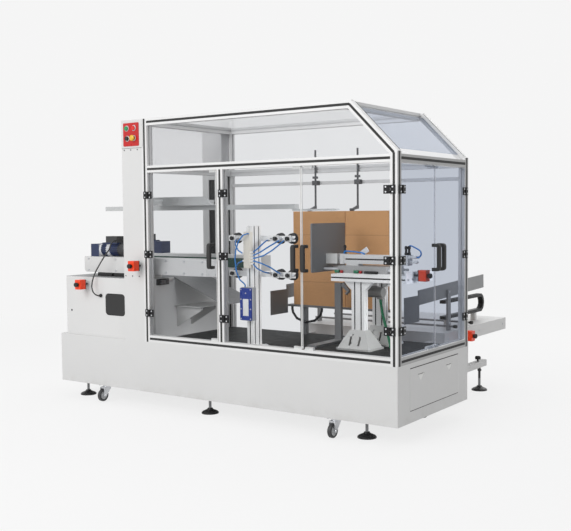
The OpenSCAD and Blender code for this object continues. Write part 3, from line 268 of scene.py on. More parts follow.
def piece(name, parts, body, smooth=True):
    """Joins parts, each a shape and its finish's name, into one closed mesh that rides on a body."""
    verts, faces, index, looks = [], [], [], []
    count = 0
    for (v, f), look in parts:
        if look not in looks:
            looks.append(look)
        verts.append(v)
        faces.append(f + count)
        index.append(np.full(len(f), looks.index(look)))
        count += len(v)
    mesh = bpy.data.meshes.new(name)
    mesh.from_pydata(np.concatenate(verts).tolist(), [], np.concatenate(faces).tolist())
    for look in looks:
        mesh.materials.append(bpy.data.materials[look])
    mesh.polygons.foreach_set("material_index", np.concatenate(index).astype(np.int32))
    work = bmesh.new()
    work.from_mesh(mesh)
    bmesh.ops.remove_doubles(work, verts=work.verts, dist=MERGED)
    bmesh.ops.dissolve_degenerate(work, edges=work.edges, dist=MERGED / 10)
    bmesh.ops.recalc_face_normals(work, faces=work.faces)
    work.to_mesh(mesh)
    work.free()
    obj = bpy.data.objects.new(name, mesh)
    bpy.context.scene.collection.objects.link(obj)
    if smooth:
        mesh.polygons.foreach_set("use_smooth", np.ones(len(mesh.polygons), bool))
        mesh.set_sharp_from_angle(angle=SHARP)
    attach(obj, body)
    return obj


# Materials

# What a mask gives on the two sides of a plane
AFTER, BEFORE = (0.0, 1.0), (1.0, 0.0)


class Paper:
    """A material's node tree with short ways to add the nodes that the finishes share."""

    def __init__(self, name):
        self.mat = bpy.data.materials.new(name)
        self.mat.use_nodes = True
        self.tree = self.mat.node_tree
        self.shader = self.tree.nodes["Principled BSDF"]
        self.place = self.add("ShaderNodeTexCoord").outputs["Object"]

    def add(self, kind, **values):
        """A new node of a kind, with its properties set."""
        node = self.tree.nodes.new(kind)
        for key, value in values.items():
            setattr(node, key, value)
        return node

    def join(self, out, into):
        """Links an output to an input."""
        self.tree.links.new(out, into)

    def set(self, **values):
        """Sets the shader's inputs by name, with underscores for spaces."""
        for key, value in values.items():
            self.shader.inputs[key.replace("_", " ")].default_value = value
        return self

    def stretched(self, scale):
        """The place times a scale along each axis."""
        node = self.add("ShaderNodeMapping")
        node.inputs["Scale"].default_value = scale
        self.join(self.place, node.inputs["Vector"])
        return node.outputs["Vector"]

    def noise(self, scale, detail=4.0, rough=0.55, place=None):
        """Noise of a scale over the place."""
        node = self.add("ShaderNodeTexNoise")
        node.inputs["Scale"].default_value = scale
        node.inputs["Detail"].default_value = detail
        node.inputs["Roughness"].default_value = rough
        self.join(place or self.place, node.inputs["Vector"])
        return node.outputs["Fac"]

    def span(self, value, low, high, out_low=0.0, out_high=1.0, smooth=False):
        """A value's range from low to high, spread over another range and held at its ends."""
        node = self.add("ShaderNodeMapRange")
        node.interpolation_type = "SMOOTHSTEP" if smooth else "LINEAR"
        for key, number in zip(("From Min", "From Max", "To Min", "To Max"), (low, high, out_low, out_high)):
            node.inputs[key].default_value = number
        self.join(value, node.inputs["Value"])
        return node.outputs["Result"]

    def drift(self, scale, low=0.0, high=1.0):
        """The middle of noise of a scale, spread between two values."""
        return self.span(self.noise(scale), 0.3, 0.7, low, high)

    def math(self, kind, a, b):
        """One step of arithmetic on two sockets or numbers."""
        node = self.add("ShaderNodeMath", operation=kind)
        for socket, value in zip(node.inputs, (a, b)):
            if isinstance(value, (int, float)):
                socket.default_value = value
            else:
                self.join(value, socket)
        return node.outputs[0]

    def mix(self, fac, low, high):
        """Two colours, or sockets that give them, mixed by a factor."""
        node = self.add("ShaderNodeMix", data_type="RGBA")
        self.join(fac, node.inputs["Factor"])
        for socket, value in ((node.inputs[6], low), (node.inputs[7], high)):
            if isinstance(value, bpy.types.NodeSocket):
                self.join(value, socket)
            else:
                socket.default_value = (*value, 1)
        return node.outputs[2]

    def paint(self, value):
        """Takes the shader's colour from a socket."""
        self.join(value, self.shader.inputs["Base Color"])
        return self

    def over(self, mask, value):
        """Lays a colour over what is painted so far, where the mask is one."""
        return self.paint(self.mix(mask, self.shader.inputs["Base Color"].links[0].from_socket, value))

    def rough(self, value):
        """Takes the shader's roughness from a socket."""
        self.join(value, self.shader.inputs["Roughness"])
        return self

    def bump(self, height, strength, depth=0.001):
        """Raises the shading by a height socket."""
        node = self.add("ShaderNodeBump")
        node.inputs["Strength"].default_value = strength
        node.inputs["Distance"].default_value = depth
        self.join(height, node.inputs["Height"])
        self.join(node.outputs["Normal"], self.shader.inputs["Normal"])
        return self

    def axis(self, name):
        """The place along one axis."""
        node = self.add("ShaderNodeSeparateXYZ")
        self.join(self.place, node.inputs[0])
        return node.outputs[name]

    def between(self, value, low, high, soft=0.0004):
        """One where a value lies between two limits and nought outside them, with soft edges."""
        rise = self.span(value, low - soft, low + soft)
        fall = self.span(value, high - soft, high + soft, 1.0, 0.0)
        return self.math("MULTIPLY", rise, fall)

    def either(self, *masks):
        """The highest of the masks."""
        highest = masks[0]
        for mask in masks[1:]:
            highest = self.math("MAXIMUM", highest, mask)
        return highest

    def past(self, axis, place, soft=0.5, ends=AFTER):
        """Nought before a plane across an axis and one after it, in millimetres from the base's corner."""
        at = CORNER["XYZ".index(axis)]
        low, high = (at + (place + d) * MM for d in (-soft, soft))
        return self.span(self.axis(axis), low, high, *ends)

    def inside(self, low, high):
        """One inside a box given by its two corners and nought outside it."""
        parts = [self.between(self.axis(a), lo, hi) for a, lo, hi in zip("XYZ", low, high)]
        return self.math("MULTIPLY", self.math("MULTIPLY", parts[0], parts[1]), parts[2])

    def within(self, low, high):
        """The same with its corners in millimetres from the base's corner."""
        return self.inside(spot(*low), spot(*high))


def shade(value, factor):
    """A colour made lighter or darker by a factor."""
    return tuple(min(1.0, c * factor) for c in value)


def worn(name, base, rough, metal=0.0, grain=240.0, depth=0.00012, drift=0.05):
    """A plain finish: colour drifts with slow noise, roughness with middling noise, bump with fine grain."""
    p = Paper(name).set(Metallic=metal)
    p.paint(p.mix(p.drift(3.2), shade(base, 1 - drift), shade(base, 1 + drift)))
    p.rough(p.drift(26.0, max(0.04, rough - 0.07), rough + 0.07))
    p.bump(p.noise(grain, 2.0), 0.25, depth)
    return p


def cabinet_paint(name, top=None):
    """Satin paint with an orange-peel skin, a little dust low down and, if a top is given, painted shade
    there: the top face takes the dark plate colour.
    """
    base = colours().paint
    p = Paper(name).set(Metallic=0.0)
    cloud = p.mix(p.drift(1.7), shade(base, 0.985), shade(base, 1.015))
    low_down = p.span(p.axis("Z"), 0.10, 0.17, 1.0, 0.0, True)
    dust = p.math("MULTIPLY", low_down, p.span(p.noise(14.0), 0.45, 0.8))
    p.paint(p.mix(p.math("MULTIPLY", dust, 0.5), cloud, (0.50, 0.49, 0.47)))
    if top is not None:
        # Painted shade: the top face takes the dark plate colour for the shade under the belt housings
        p.over(p.span(p.axis("Z"), top - 0.0006, top - 0.0003), colours().plate)
    p.rough(p.drift(30.0, 0.34, 0.44))
    return p.bump(p.noise(520.0, 1.0), 0.12, 0.0002).mat


def profile_aluminium():
    """Clear anodised aluminium with faint drawing lines, and painted shade on the outer faces of the right
    end.
    """
    base = colours().aluminium
    p = Paper("profile_aluminium").set(Metallic=0.15)
    fine = p.noise(900.0, 2.0)
    cloud = p.mix(p.drift(6.0), shade(base, 0.97), shade(base, 1.03))
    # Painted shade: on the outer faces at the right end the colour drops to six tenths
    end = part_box("frame_posts")[1][0]
    p.paint(p.mix(p.span(p.axis("X"), end - 0.0008, end - 0.0004), cloud, shade(base, 0.6)))
    p.rough(p.span(fine, 0.3, 0.7, 0.44, 0.56))
    return p.bump(fine, 0.10, 0.0001).mat


def clear_sheet(name, tint, haze=0.008, slope=None):
    """Clear acrylic: lets tinted light through, shows more at a glancing angle, and has faint smears; past a
    given slope it lets a darker tint through, painted shade.
    """
    film = shade(colours().milk, min(1.0, 0.4 + haze * 2))
    p = Paper(name).set(Base_Color=(*film, 1), IOR=1.49, Specular_IOR_Level=0.7)
    smear = p.span(p.noise(3.0, 5.0, 0.6, p.stretched((1.0, 1.0, 0.35))), 0.35, 0.75, 0.0, 0.025)
    edge = p.add("ShaderNodeLayerWeight")
    edge.inputs["Blend"].default_value = 0.25
    lit = p.add("ShaderNodeLightPath").outputs["Is Shadow Ray"]
    back = p.math("MAXIMUM", p.add("ShaderNodeNewGeometry").outputs["Backfacing"], lit)
    seen = p.math("ADD", p.math("MULTIPLY", edge.outputs["Fresnel"], 0.5), p.math("ADD", smear, haze))
    through = p.add("ShaderNodeBsdfTransparent")
    clear = tuple(tint)
    # Painted shade: past the slope the sheet lets the end doors' darker tint through
    if slope is not None:
        place = p.math("ADD", p.axis("X"), p.axis("Z"))
        clear = p.mix(p.span(place, slope - 0.001, slope), clear, shade(colours().end_tint_and_shade, 1.12))
    p.join(p.mix(back, clear, (1.0, 1.0, 1.0)), through.inputs["Color"])
    blend = p.add("ShaderNodeMixShader")
    p.join(p.math("MULTIPLY", seen, p.math("SUBTRACT", 1.0, back)), blend.inputs[0])
    p.join(through.outputs[0], blend.inputs[1])
    p.join(p.shader.outputs[0], blend.inputs[2])
    p.join(blend.outputs[0], p.tree.nodes["Material Output"].inputs["Surface"])
    p.rough(p.span(smear, 0.0, 0.025, 0.04, 0.10))
    return p.mat


# Carton blank, in millimetres from its own edges: its flaps and its fold, and half the width of their lines
FLAP, FOLD = 142, 371
SCORE_HALF, FOLD_HALF = 2.5, 2


def carton_board():
    """Kraft board: long fibres, faint flute lines under the liner and pressed score lines at the flaps,
    darkened in colour as painted shade in their creases.
    """
    base = colours().carton
    low, high = (local(v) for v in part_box("carton_blank"))
    p = Paper("carton_board").set(Metallic=0.0)
    fibre = p.noise(160.0, 5.0, 0.7, p.stretched((0.35, 1.0, 1.0)))
    cloud = p.mix(p.drift(5.0), shade(base, 0.93), shade(base, 1.06))
    z = p.axis("Z")
    scores = [p.between(z, *(spot(0, 0, c + d)[2] for d in (-SCORE_HALF, SCORE_HALF)), 0.0012)
              for c in (low[2] + FLAP, high[2] - FLAP)]
    edges = (spot(low[0] + FOLD + d, 0, 0)[0] for d in (-FOLD_HALF, FOLD_HALF))
    score = p.either(*scores, p.between(p.axis("X"), *edges, 0.001))
    flecks = p.mix(p.span(fibre, 0.35, 0.7), cloud, shade(base, 1.12))
    # The score lines are pressed in by the bump and darkened in colour: painted shade in the creases
    p.paint(p.mix(p.math("MULTIPLY", score, 0.45), flecks, shade(base, 0.62)))
    p.rough(p.span(fibre, 0.3, 0.7, 0.74, 0.88))
    wave = p.add("ShaderNodeTexWave", wave_type="BANDS", bands_direction="X")
    wave.inputs["Scale"].default_value = 22.0
    p.join(p.place, wave.inputs["Vector"])
    flute = p.math("MULTIPLY", wave.outputs["Fac"], 0.35)
    relief = p.math("SUBTRACT", p.math("ADD", flute, fibre), p.math("MULTIPLY", score, 2.0))
    return p.bump(relief, 0.35, 0.0006).mat


# The feet's bright threads, in metres over the floor
THREADS = (0.031, 0.078)


def foot_finish():
    """Black rubber pads and blackened stems, with bright threads just under the base."""
    p = worn("foot_finish", colours().rubber, 0.42, grain=320.0)
    stem = p.math("MULTIPLY", p.between(p.axis("Z"), *THREADS), 0.35)
    p.join(stem, p.shader.inputs["Metallic"])
    return p.over(stem, colours().steel).mat


# Drive motors, in millimetres: pale bands and the fan cowl, painted dark as painted shade, of the front and
# of the back motor, their levels, and the height of the terminal boxes
MOTOR_BANDS = (((249.5, 265), (306, 336)), ((203, 218.5), (132, 162)))
SHADED_COWLS = ((404, 560), (-5, 64))
MOTOR_FOOT, BAND_TOP, COWL_TOP = 700, 866, 900
TERMINAL_BOX = 40


def motor_finish():
    """Navy motor paint, with dark terminal boxes, fan cowls painted dark as painted shade, and two pale bands
    on each motor.
    """
    low, high = (local(v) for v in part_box("drive_motors"))
    p = worn("motor_finish", colours().navy, 0.38, grain=380.0, depth=0.0002)
    middle = (low[1] + high[1]) / 2
    depths = ((low[1] - 1, middle), (middle, high[1] + 1))
    dark = [p.past("Z", high[2] - TERMINAL_BOX)]
    pale = []
    for (front, back), bands, cowl in zip(depths, MOTOR_BANDS, SHADED_COWLS):
        # Painted shade: the fan cowls take the near-black colour
        dark.append(p.within((cowl[0], front, MOTOR_FOOT), (cowl[1], back, COWL_TOP)))
        pale += [p.within((a, front, MOTOR_FOOT), (b, back, BAND_TOP)) for a, b in bands]
    p.over(p.either(*dark), (0.030, 0.031, 0.034))
    return p.over(p.either(*pale), (0.62, 0.63, 0.65)).mat


# An indicator's dark back plate: its place behind the knob's middle and half its width, in metres
BACK_PLATE = (0.1, 0.053)
BACK_HALF = 0.04


def indicator_finish():
    """Orange-red moulded boxes with a dark plate at the back of each and steel shafts."""
    p = worn("indicator_finish", colours().orange, 0.32, grain=700.0, depth=0.00006)
    masks = []
    for i in NUMBERS:
        joint = JOINTS[f"knob_turn_{i}"]
        along = np.array(joint["axis"])
        ends = np.array([joint["pos_m"] - along * d for d in BACK_PLATE])
        wide = BACK_HALF * (1 - np.abs(along))
        masks.append(p.inside(ends.min(0) - wide, ends.max(0) + wide))
    return p.over(p.either(*masks), (0.030, 0.030, 0.032)).mat


# Suction unit's valve housing and manifold, as two corners in millimetres
VALVE_HOUSING = (1390, 50, 455), (1500, 99.5, 650)
MANIFOLD = (1390, 60, 746), (1500, 99.5, 956)


def suction_finish():
    """Anodised column and arms, painted lighter for the shade inside the frame, with a grey valve housing and
    a cream manifold in front.
    """
    p = worn("suction_finish", colours().bright, 0.36, metal=0.2, grain=800.0)
    p.over(p.within(*VALVE_HOUSING), (0.30, 0.31, 0.33))
    return p.over(p.within(*MANIFOLD), (0.74, 0.70, 0.62)).mat


# Pusher's plate and its rod-end block, in millimetres from the pusher's own sides
PLATE_BACK = 8.2
ROD_END_X, ROD_END_INSET, ROD_END_Z = 80.5, 140, (40, 104)


def pusher_finish():
    """Grey pusher plate and chrome rods with a white rod-end block."""
    c = colours()
    low, high = (local(v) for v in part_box("pusher_head"))
    p = worn("pusher_finish", c.plate, 0.42, grain=500.0)
    p.over(p.past("X", low[0] + PLATE_BACK, 0.2), c.steel)
    rod_end = p.within((low[0] + PLATE_BACK, low[1] + ROD_END_INSET, low[2] + ROD_END_Z[0]),
                       (low[0] + ROD_END_X, high[1] - ROD_END_INSET, low[2] + ROD_END_Z[1]))
    return p.over(rod_end, c.white).mat


# Pusher's stand, in millimetres: its feet's height, the bar under its cylinder, from the stand's left side,
# and the motor under its carrier
FEET_TOP = 104.25
BAR_X, BAR_Y, BAR_Z = (30, 345), (355, 505), (721.3, 765)
STAND_MOTOR = (1950, 470, 570), (2062, 540, 645)


def stand_finish():
    """Anodised rails and posts, painted lighter for the shade inside the frame, on duller cast feet, with a
    dark motor hanging under the carrier.
    """
    c = colours()
    low = local(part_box("pusher_stand")[0])
    p = worn("stand_finish", c.bright, 0.38, metal=0.2, grain=700.0)
    p.over(p.past("Z", low[2] + FEET_TOP, 0.25, BEFORE), c.cast)
    corners = ((low[0] + x, y, z) for x, y, z in zip(BAR_X, BAR_Y, BAR_Z))
    p.over(p.within(*corners), (0.36, 0.36, 0.36))
    return p.over(p.within(*STAND_MOTOR), (0.26, 0.26, 0.25)).mat


# In millimetres: just over the ramp's shelf, from its gussets' feet, and the end of the guides' nose plates
SHELF_TOP = 128.75
NOSE_END = 670


def ramp_finish():
    """Worn dark steel on the sloping ramp, with a paler shelf and gussets under it."""
    low = local(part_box("flap_ramp")[0])
    p = worn("ramp_steel", colours().plate, 0.40, grain=420.0)
    return p.over(p.past("Z", low[2] + SHELF_TOP, 0.25, BEFORE), (0.60, 0.60, 0.59)).mat


def guide_finish():
    """Grey sheet guides, darker on the nose plates at their front."""
    p = worn("guide_steel", (0.27, 0.275, 0.28), 0.42, grain=420.0)
    return p.over(p.past("Y", NOSE_END, 0.5, BEFORE), colours().plate).mat


# Where the pusher's hose begins along the machine, and the blank's hose across it, in millimetres
PUSHER_HOSE, BLANK_HOSE = 1800.5, 600.5


def tube_finish():
    """Glossy air tubes, blue at the suction unit, with the pusher's hose green and the blank's hose black."""
    c = colours()
    p = worn("tube_finish", c.tube, 0.28, grain=900.0, depth=0.00004)
    p.over(p.past("X", PUSHER_HOSE), c.hose)
    return p.over(p.past("Y", BLANK_HOSE), c.dark).mat


# The radius where a caster wheel's hub meets its tyre, in metres
HUB = (0.0255, 0.0262)


def wheel_finish(index):
    """Black tyre round a pale hub: the hub is what lies within a radius of the wheel's axle."""
    axle = JOINTS[f"caster_roll_{index}"]["pos_m"]
    p = worn(f"wheel_finish_{index}", colours().tread, 0.5, grain=420.0, drift=0.1)
    squares = [p.math("POWER", p.math("SUBTRACT", p.axis(a), float(v)), 2.0) for a, v in zip("YZ", axle[1:])]
    reach = p.math("SQRT", p.math("ADD", *squares), 0.0)
    return p.over(p.span(reach, *HUB, 1.0, 0.0), (0.52, 0.53, 0.54)).mat


def plain_finishes():
    """The finishes that a colour, a roughness and a grain are enough for."""
    c = colours()
    return {
        "deck_steel": worn("deck_steel", c.plate, 0.42, grain=420.0).mat,
        "black_rubber": worn("black_rubber", c.rubber, 0.5, grain=300.0).mat,
        "zinc_steel": worn("zinc_steel", c.steel, 0.32, metal=0.85, grain=600.0, drift=0.09).mat,
        "red_panel": worn("red_panel", c.red, 0.33, grain=600.0, drift=0.03).mat,
        "black_plastic": worn("black_plastic", c.dark, 0.40, grain=900.0, depth=0.0001, drift=0.15).set(
            Specular_IOR_Level=0.25).mat,
        "white_plastic": worn("white_plastic", c.white, 0.35, grain=800.0, drift=0.02).mat,
        "belt_rubber": worn("belt_rubber", c.belt, 0.6, grain=200.0, drift=0.12).mat,
        "lead_sheath": worn("lead_sheath", c.lead, 0.5, grain=700.0, drift=0.12).mat,
        "valve_blue": worn("valve_blue", c.blue, 0.30, grain=500.0, drift=0.06).mat,
    }


def button_finish(name, value):
    """Glossy moulded cap of one colour."""
    return worn(name, value, 0.24, grain=900.0, depth=0.00004, drift=0.04).mat


# A point on the slope's sheet, in millimetres
SLOPE_SHEET = (2155, 0, 1546)


class ERECTOR_OT_finishes(bpy.types.Operator):
    """Puts a procedural finish on every node of the frame, by its slot or by its own name"""

    bl_idname = "erector.finishes"
    bl_label = "Finishes"

    def execute(self, context):
        c = colours()
        by_slot = plain_finishes() | {
            "light_grey_paint": cabinet_paint("cabinet_paint"),
            "anodised_profile": profile_aluminium(),
            # The front doors' sheet lets a darker tint through: acrylic with painted shade of what lies
            # behind it
            "clear_acrylic": clear_sheet("clear_sheet", c.door_tint_and_shade),
            "carton_brown": carton_board(),
            "motor_navy": motor_finish(),
            "indicator_orange": indicator_finish(),
            "air_tube": tube_finish(),
            "button_plastic": button_finish("button_red", (0.62, 0.02, 0.015)),
        }
        by_node = {
            # The discharge cabinet's top is painted dark: painted shade under the belt housings
            "discharge_cabinet": cabinet_paint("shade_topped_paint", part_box("discharge_cabinet")[1][2]),
            "levelling_feet": foot_finish(),
            "suction_column": suction_finish(),
            "pusher_head": pusher_finish(),
            "pusher_stand": stand_finish(),
            "end_wall": clear_sheet("hazy_sheet", c.tint, 0.30),
            # The roof sheet is darker past the slope: painted shade
            "clear_panels": clear_sheet("roof_sheet", c.tint, slope=spot(*SLOPE_SHEET)[[0, 2]].sum()),
            "flap_ramp": ramp_finish(),
            "side_guides": guide_finish(),
            "deck_plate": worn("deck_plate", c.deck, 0.5, grain=160.0).set(Specular_IOR_Level=0.03).mat,
            "hold_down_rods": worn("rod_steel", (0.13, 0.13, 0.135), 0.35, metal=0.5, grain=600.0).mat,
            "hold_down_beam": worn("beam_aluminium", (0.52, 0.53, 0.53), 0.36, metal=0.2, grain=700.0).mat,
        }
        by_node |= {f"caster_wheel_{i}": wheel_finish(i) for i in NUMBERS}
        # The end doors' sheet lets a dark blue-grey tint through: acrylic with painted shade of what lies
        # behind it
        by_node |= dict.fromkeys(("end_door_1", "end_door_2"), clear_sheet("end_sheet", c.end_tint_and_shade))
        for row in frame["record"]["subparts"]:
            node = frame["nodes"][row["node"]]
            mat = by_node.get(row["node"]) or by_slot[row["material_slot"]]
            if not node.material_slots:
                node.data.materials.append(mat)
            for place in node.material_slots:
                place.material = mat
        return {"FINISHED"}


# The motor lead's route, in millimetres from the base's corner, as in the part's source
LEAD = np.array([
    (385, 118, 888), (385, 100, 886), (385, 80, 872), (388, 60, 838), (380, 42, 812), (368, 24, 780),
    (352, 8, 742), (338, -8, 704), (328, -20, 666), (324, -28, 634), (326, -32, 606), (334, -32, 582),
    (346, -26, 565), (358, -14, 556), (364, -4, 555), (364, 8, 555),
], float)


class ERECTOR_OT_motor_lead(bpy.types.Operator):
    """Lays the drive motor's lead from its terminal box down to the cabinet"""

    bl_idname = "erector.motor_lead"
    bl_label = "Motor lead"

    def execute(self, context):
        path = smooth_path(CORNER + LEAD * MM)
        radius = sizes().lead_r
        obj = piece("motor_lead_cord", [(tube(path, radius, 12), "lead_sheath")], "machine")
        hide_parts("motor_lead")
        return {"FINISHED"}


# Frame, in millimetres: the cut of its sloping corner, the gap round a door, and how far a dark strip
# of painted shade lies inside a slope rail and ends short of it
SLOPE_CUT = 260
DOOR_GAP = 6
SLOPE_SHADE_INSET, SLOPE_SHADE_SHORT = 3, 5
# A strip's thickness and the radius of its edges, in metres
STRIP_THICK, STRIP_EDGE = 0.0008, 0.0003


def slope_shade_runs():
    """Lines of the dark strips near the slope rails' inner edges, painted shade of a slot, in millimetres, as
    slot_runs gives them.
    """
    low, high = (local(v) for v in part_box("frame_posts"))
    inset = sizes().profile / MM - SLOPE_SHADE_INSET
    drop = SLOPE_CUT - SLOPE_SHADE_SHORT
    out = (X + Z) / math.sqrt(2)
    return [((high[0] - drop, y, high[2] - SLOPE_SHADE_SHORT), (high[0] - SLOPE_SHADE_SHORT, y, high[2] - drop), out)
            for y in (low[1] + inset, high[1] - inset)]


def slot_runs():
    """Middle lines of the frame's outer slots, in millimetres: (start, end, outward direction)."""
    low, high = (local(v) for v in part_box("frame_posts"))
    width = sizes().profile / MM
    half = width / 2
    left, right, front, back = low[0], high[0], low[1], high[1]
    foot, top = low[2], high[2]
    middle = local(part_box("front_door_2")[0])[0] - width - DOOR_GAP
    beam = local(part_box("front_door_1")[1])[2] + DOOR_GAP + half
    ridge, bend = right - SLOPE_CUT, top - SLOPE_CUT
    mitre = half * math.tan(math.radians(22.5))
    inner = right - width
    runs = []
    for y, out in ((front, -Y), (back, Y)):
        runs += [((left + half, y, foot), (left + half, y, top), out),
                 ((right - half, y, foot), (right - half, y, bend - mitre), out),
                 ((left + width, y, beam), (inner, y, beam), out),
                 ((left + width, y, top - half), (ridge - mitre, y, top - half), out),
                 ((ridge - mitre, y, top - half), (right - half, y, bend - mitre), out)]
    runs += [((middle + half, front, foot + width), (middle + half, front, beam - half), -Y),
             ((left + width, front, foot + half), (inner, front, foot + half), -Y)]
    for y in (front + half, back - half):
        runs += [((right, y, foot), (right, y, bend), X),
                 ((left + width, y, top), (ridge, y, top), Z)]
    for z in (foot + half, beam):
        runs.append(((right, front + width, z), (right, back - width, z), X))
    for x in (left + half, ridge - 2 * mitre - half):
        runs.append(((x, front + width, top), (x, back - width, top), Z))
    runs.append(((left + half, back - width, foot), (left + half, back - width, beam - half), -Y))
    return runs


class ERECTOR_OT_slot_strips(bpy.types.Operator):
    """Lays dark strips, painted shade of the slots, over the profiles' outer slots and near the slope rails'
    inner edges
    """

    bl_idname = "erector.slot_strips"
    bl_label = "Slot strips"

    def execute(self, context):
        s = sizes()
        parts = []
        # Painted shade: the dark strips stand in for the shade inside the slots
        for runs, width in ((slot_runs(), s.slot_shade_w), (slope_shade_runs(), s.slope_shade_w)):
            section = outline(width, STRIP_THICK, STRIP_EDGE, 2)
            for start, end, out in runs:
                lift = out * (s.slot_rise - STRIP_THICK / 2)
                parts.append((bar(spot(*start) + lift, spot(*end) + lift, section, out), "black_plastic"))
        piece("slot_strips", parts, "machine", smooth=False)
        return {"FINISHED"}


# Doors: the direction from the hinge along the door and the outward direction
DOORS = {
    "front_door_1": (X, -Y), "front_door_2": (X, -Y), "front_door_3": (-X, -Y),
    "end_door_1": (Y, X), "end_door_2": (-Y, X),
}
# Hinges' pitch, a leaf's middle from the pin and half the step between its screws; half a handle's width and
# its reach; how far an edge strip stands proud
HINGE_PITCH = 345 * MM
LEAF_MIDDLE = 18.75 * MM
LEAF_SCREWS = 12 * MM
HANDLE_HALF = 10 * MM
HANDLE_REACH = 42 * MM
EDGE_PROUD = 0.4 * MM


def screw_head(radius):
    """A raised round head with a hexagon-like socket, as a turned profile."""
    r = radius
    sunk = -0.0004
    return turned([(0, r * 0.25), (r * 0.45, r * 0.25), (r * 0.5, r * 0.62), (r * 0.8, r * 0.6),
                   (r, r * 0.35), (r, sunk), (0, sunk)], sizes().sides)


class ERECTOR_OT_hinge_screws(bpy.types.Operator):
    """Sets two screws in each leaf of every hinge"""

    bl_idname = "erector.hinge_screws"
    bl_label = "Hinge screws"

    def execute(self, context):
        head = screw_head(sizes().screw_r)
        fixed, fixed_out = [], []
        for door, (along, out) in DOORS.items():
            pivot = np.array(JOINTS[door + "_hinge"]["pos_m"])
            levels = [Z * (k * HINGE_PITCH + s * LEAF_SCREWS) for k in (-1, 0, 1) for s in (-1, 1)]
            spots = np.array([pivot + level for level in levels])
            moving = spots + along * LEAF_MIDDLE
            piece(door + "_screws", [(stamped(head, moving, [out] * len(moving)), "zinc_steel")],
                  door + "_body")
            fixed.append(spots - along * LEAF_MIDDLE)
            fixed_out += [out] * len(spots)
        piece("hinge_screws", [(stamped(head, np.concatenate(fixed), fixed_out), "zinc_steel")],
              "machine")
        return {"FINISHED"}


class ERECTOR_OT_door_edges(bpy.types.Operator):
    """Slips a pale strip on each door's free edge"""

    bl_idname = "erector.door_edges"
    bl_label = "Door edges"

    def execute(self, context):
        width = sizes().edge_w
        for door, (along, out) in DOORS.items():
            low, high = (np.array(v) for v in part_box(door))
            middle = (low + high) / 2
            half = (high - low) / 2
            thick = 2 * np.abs(half @ out) + 2 * EDGE_PROUD
            edge = middle + along * (np.abs(half @ along) - width / 2 + EDGE_PROUD / 2)
            reach = Z * (half[2] - 0.001)
            strip = bar(edge - reach, edge + reach, outline(width, thick, 0.0012, 3), out)
            look, slot = ("hazy_sheet", "clear_acrylic") if out is X else ("white_plastic", "white_plastic")
            piece(door + "_edge", [(strip, look)], door + "_body")
        return {"FINISHED"}


# A handle's grip, in millimetres: half its height, its reach, its thickness, half its width and its bends
GRIP_HALF, GRIP_REACH, GRIP_THICK, GRIP_WIDE = 71, 44, 17, 12.5
GRIP_BEND = (17, 5)


def bow(half, reach, bend):
    """Depth and height along a bow: out from the door, round a quarter arc, up, round again and back."""
    t = np.linspace(0, np.pi / 2, 5)
    arc = np.stack([reach - bend + bend * np.sin(t), -half + bend - bend * np.cos(t)], -1)
    lower = np.concatenate([[(0, -half)], arc])
    return np.concatenate([lower, lower[::-1] * (1, -1)])


def handle_grip(origin, along, out):
    """A round-cornered section between an outer and an inner bow, carried from foot to foot of the handle."""
    outer = bow(GRIP_HALF, GRIP_REACH, GRIP_BEND[0])
    inner = bow(GRIP_HALF - GRIP_THICK, GRIP_REACH - GRIP_THICK, GRIP_BEND[1])
    part = np.array((0.16, 0, 0, 0.16, 0.84, 1, 1, 0.84))[None, :, None]
    flat = outer[:, None] * (1 - part) + inner[:, None] * part
    across = np.array((-1, -0.8, 0.8, 1, 1, 0.8, -0.8, -1)) * GRIP_WIDE
    verts, faces = capped(flat[..., :1] * out + flat[..., 1:] * Z + across[None, :, None] * along)
    return origin + verts * MM, faces


class ERECTOR_OT_handle_grips(bpy.types.Operator):
    """Puts a thick moulded grip over each door's bow handle"""

    bl_idname = "erector.handle_grips"
    bl_label = "Handle grips"

    def execute(self, context):
        for i, (door, (along, out)) in enumerate(DOORS.items(), 1):
            low, high = (np.array(v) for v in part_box(f"door_fittings_{i}"))
            tip = np.where(along + out > 0, high, low)
            origin = tip - along * HANDLE_HALF - out * HANDLE_REACH
            origin[2] = np.mean(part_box(door), axis=0)[2]
            grip = handle_grip(origin, along, out)
            piece(door + "_grip", [(grip, "black_plastic")], door + "_body")
        return {"FINISHED"}


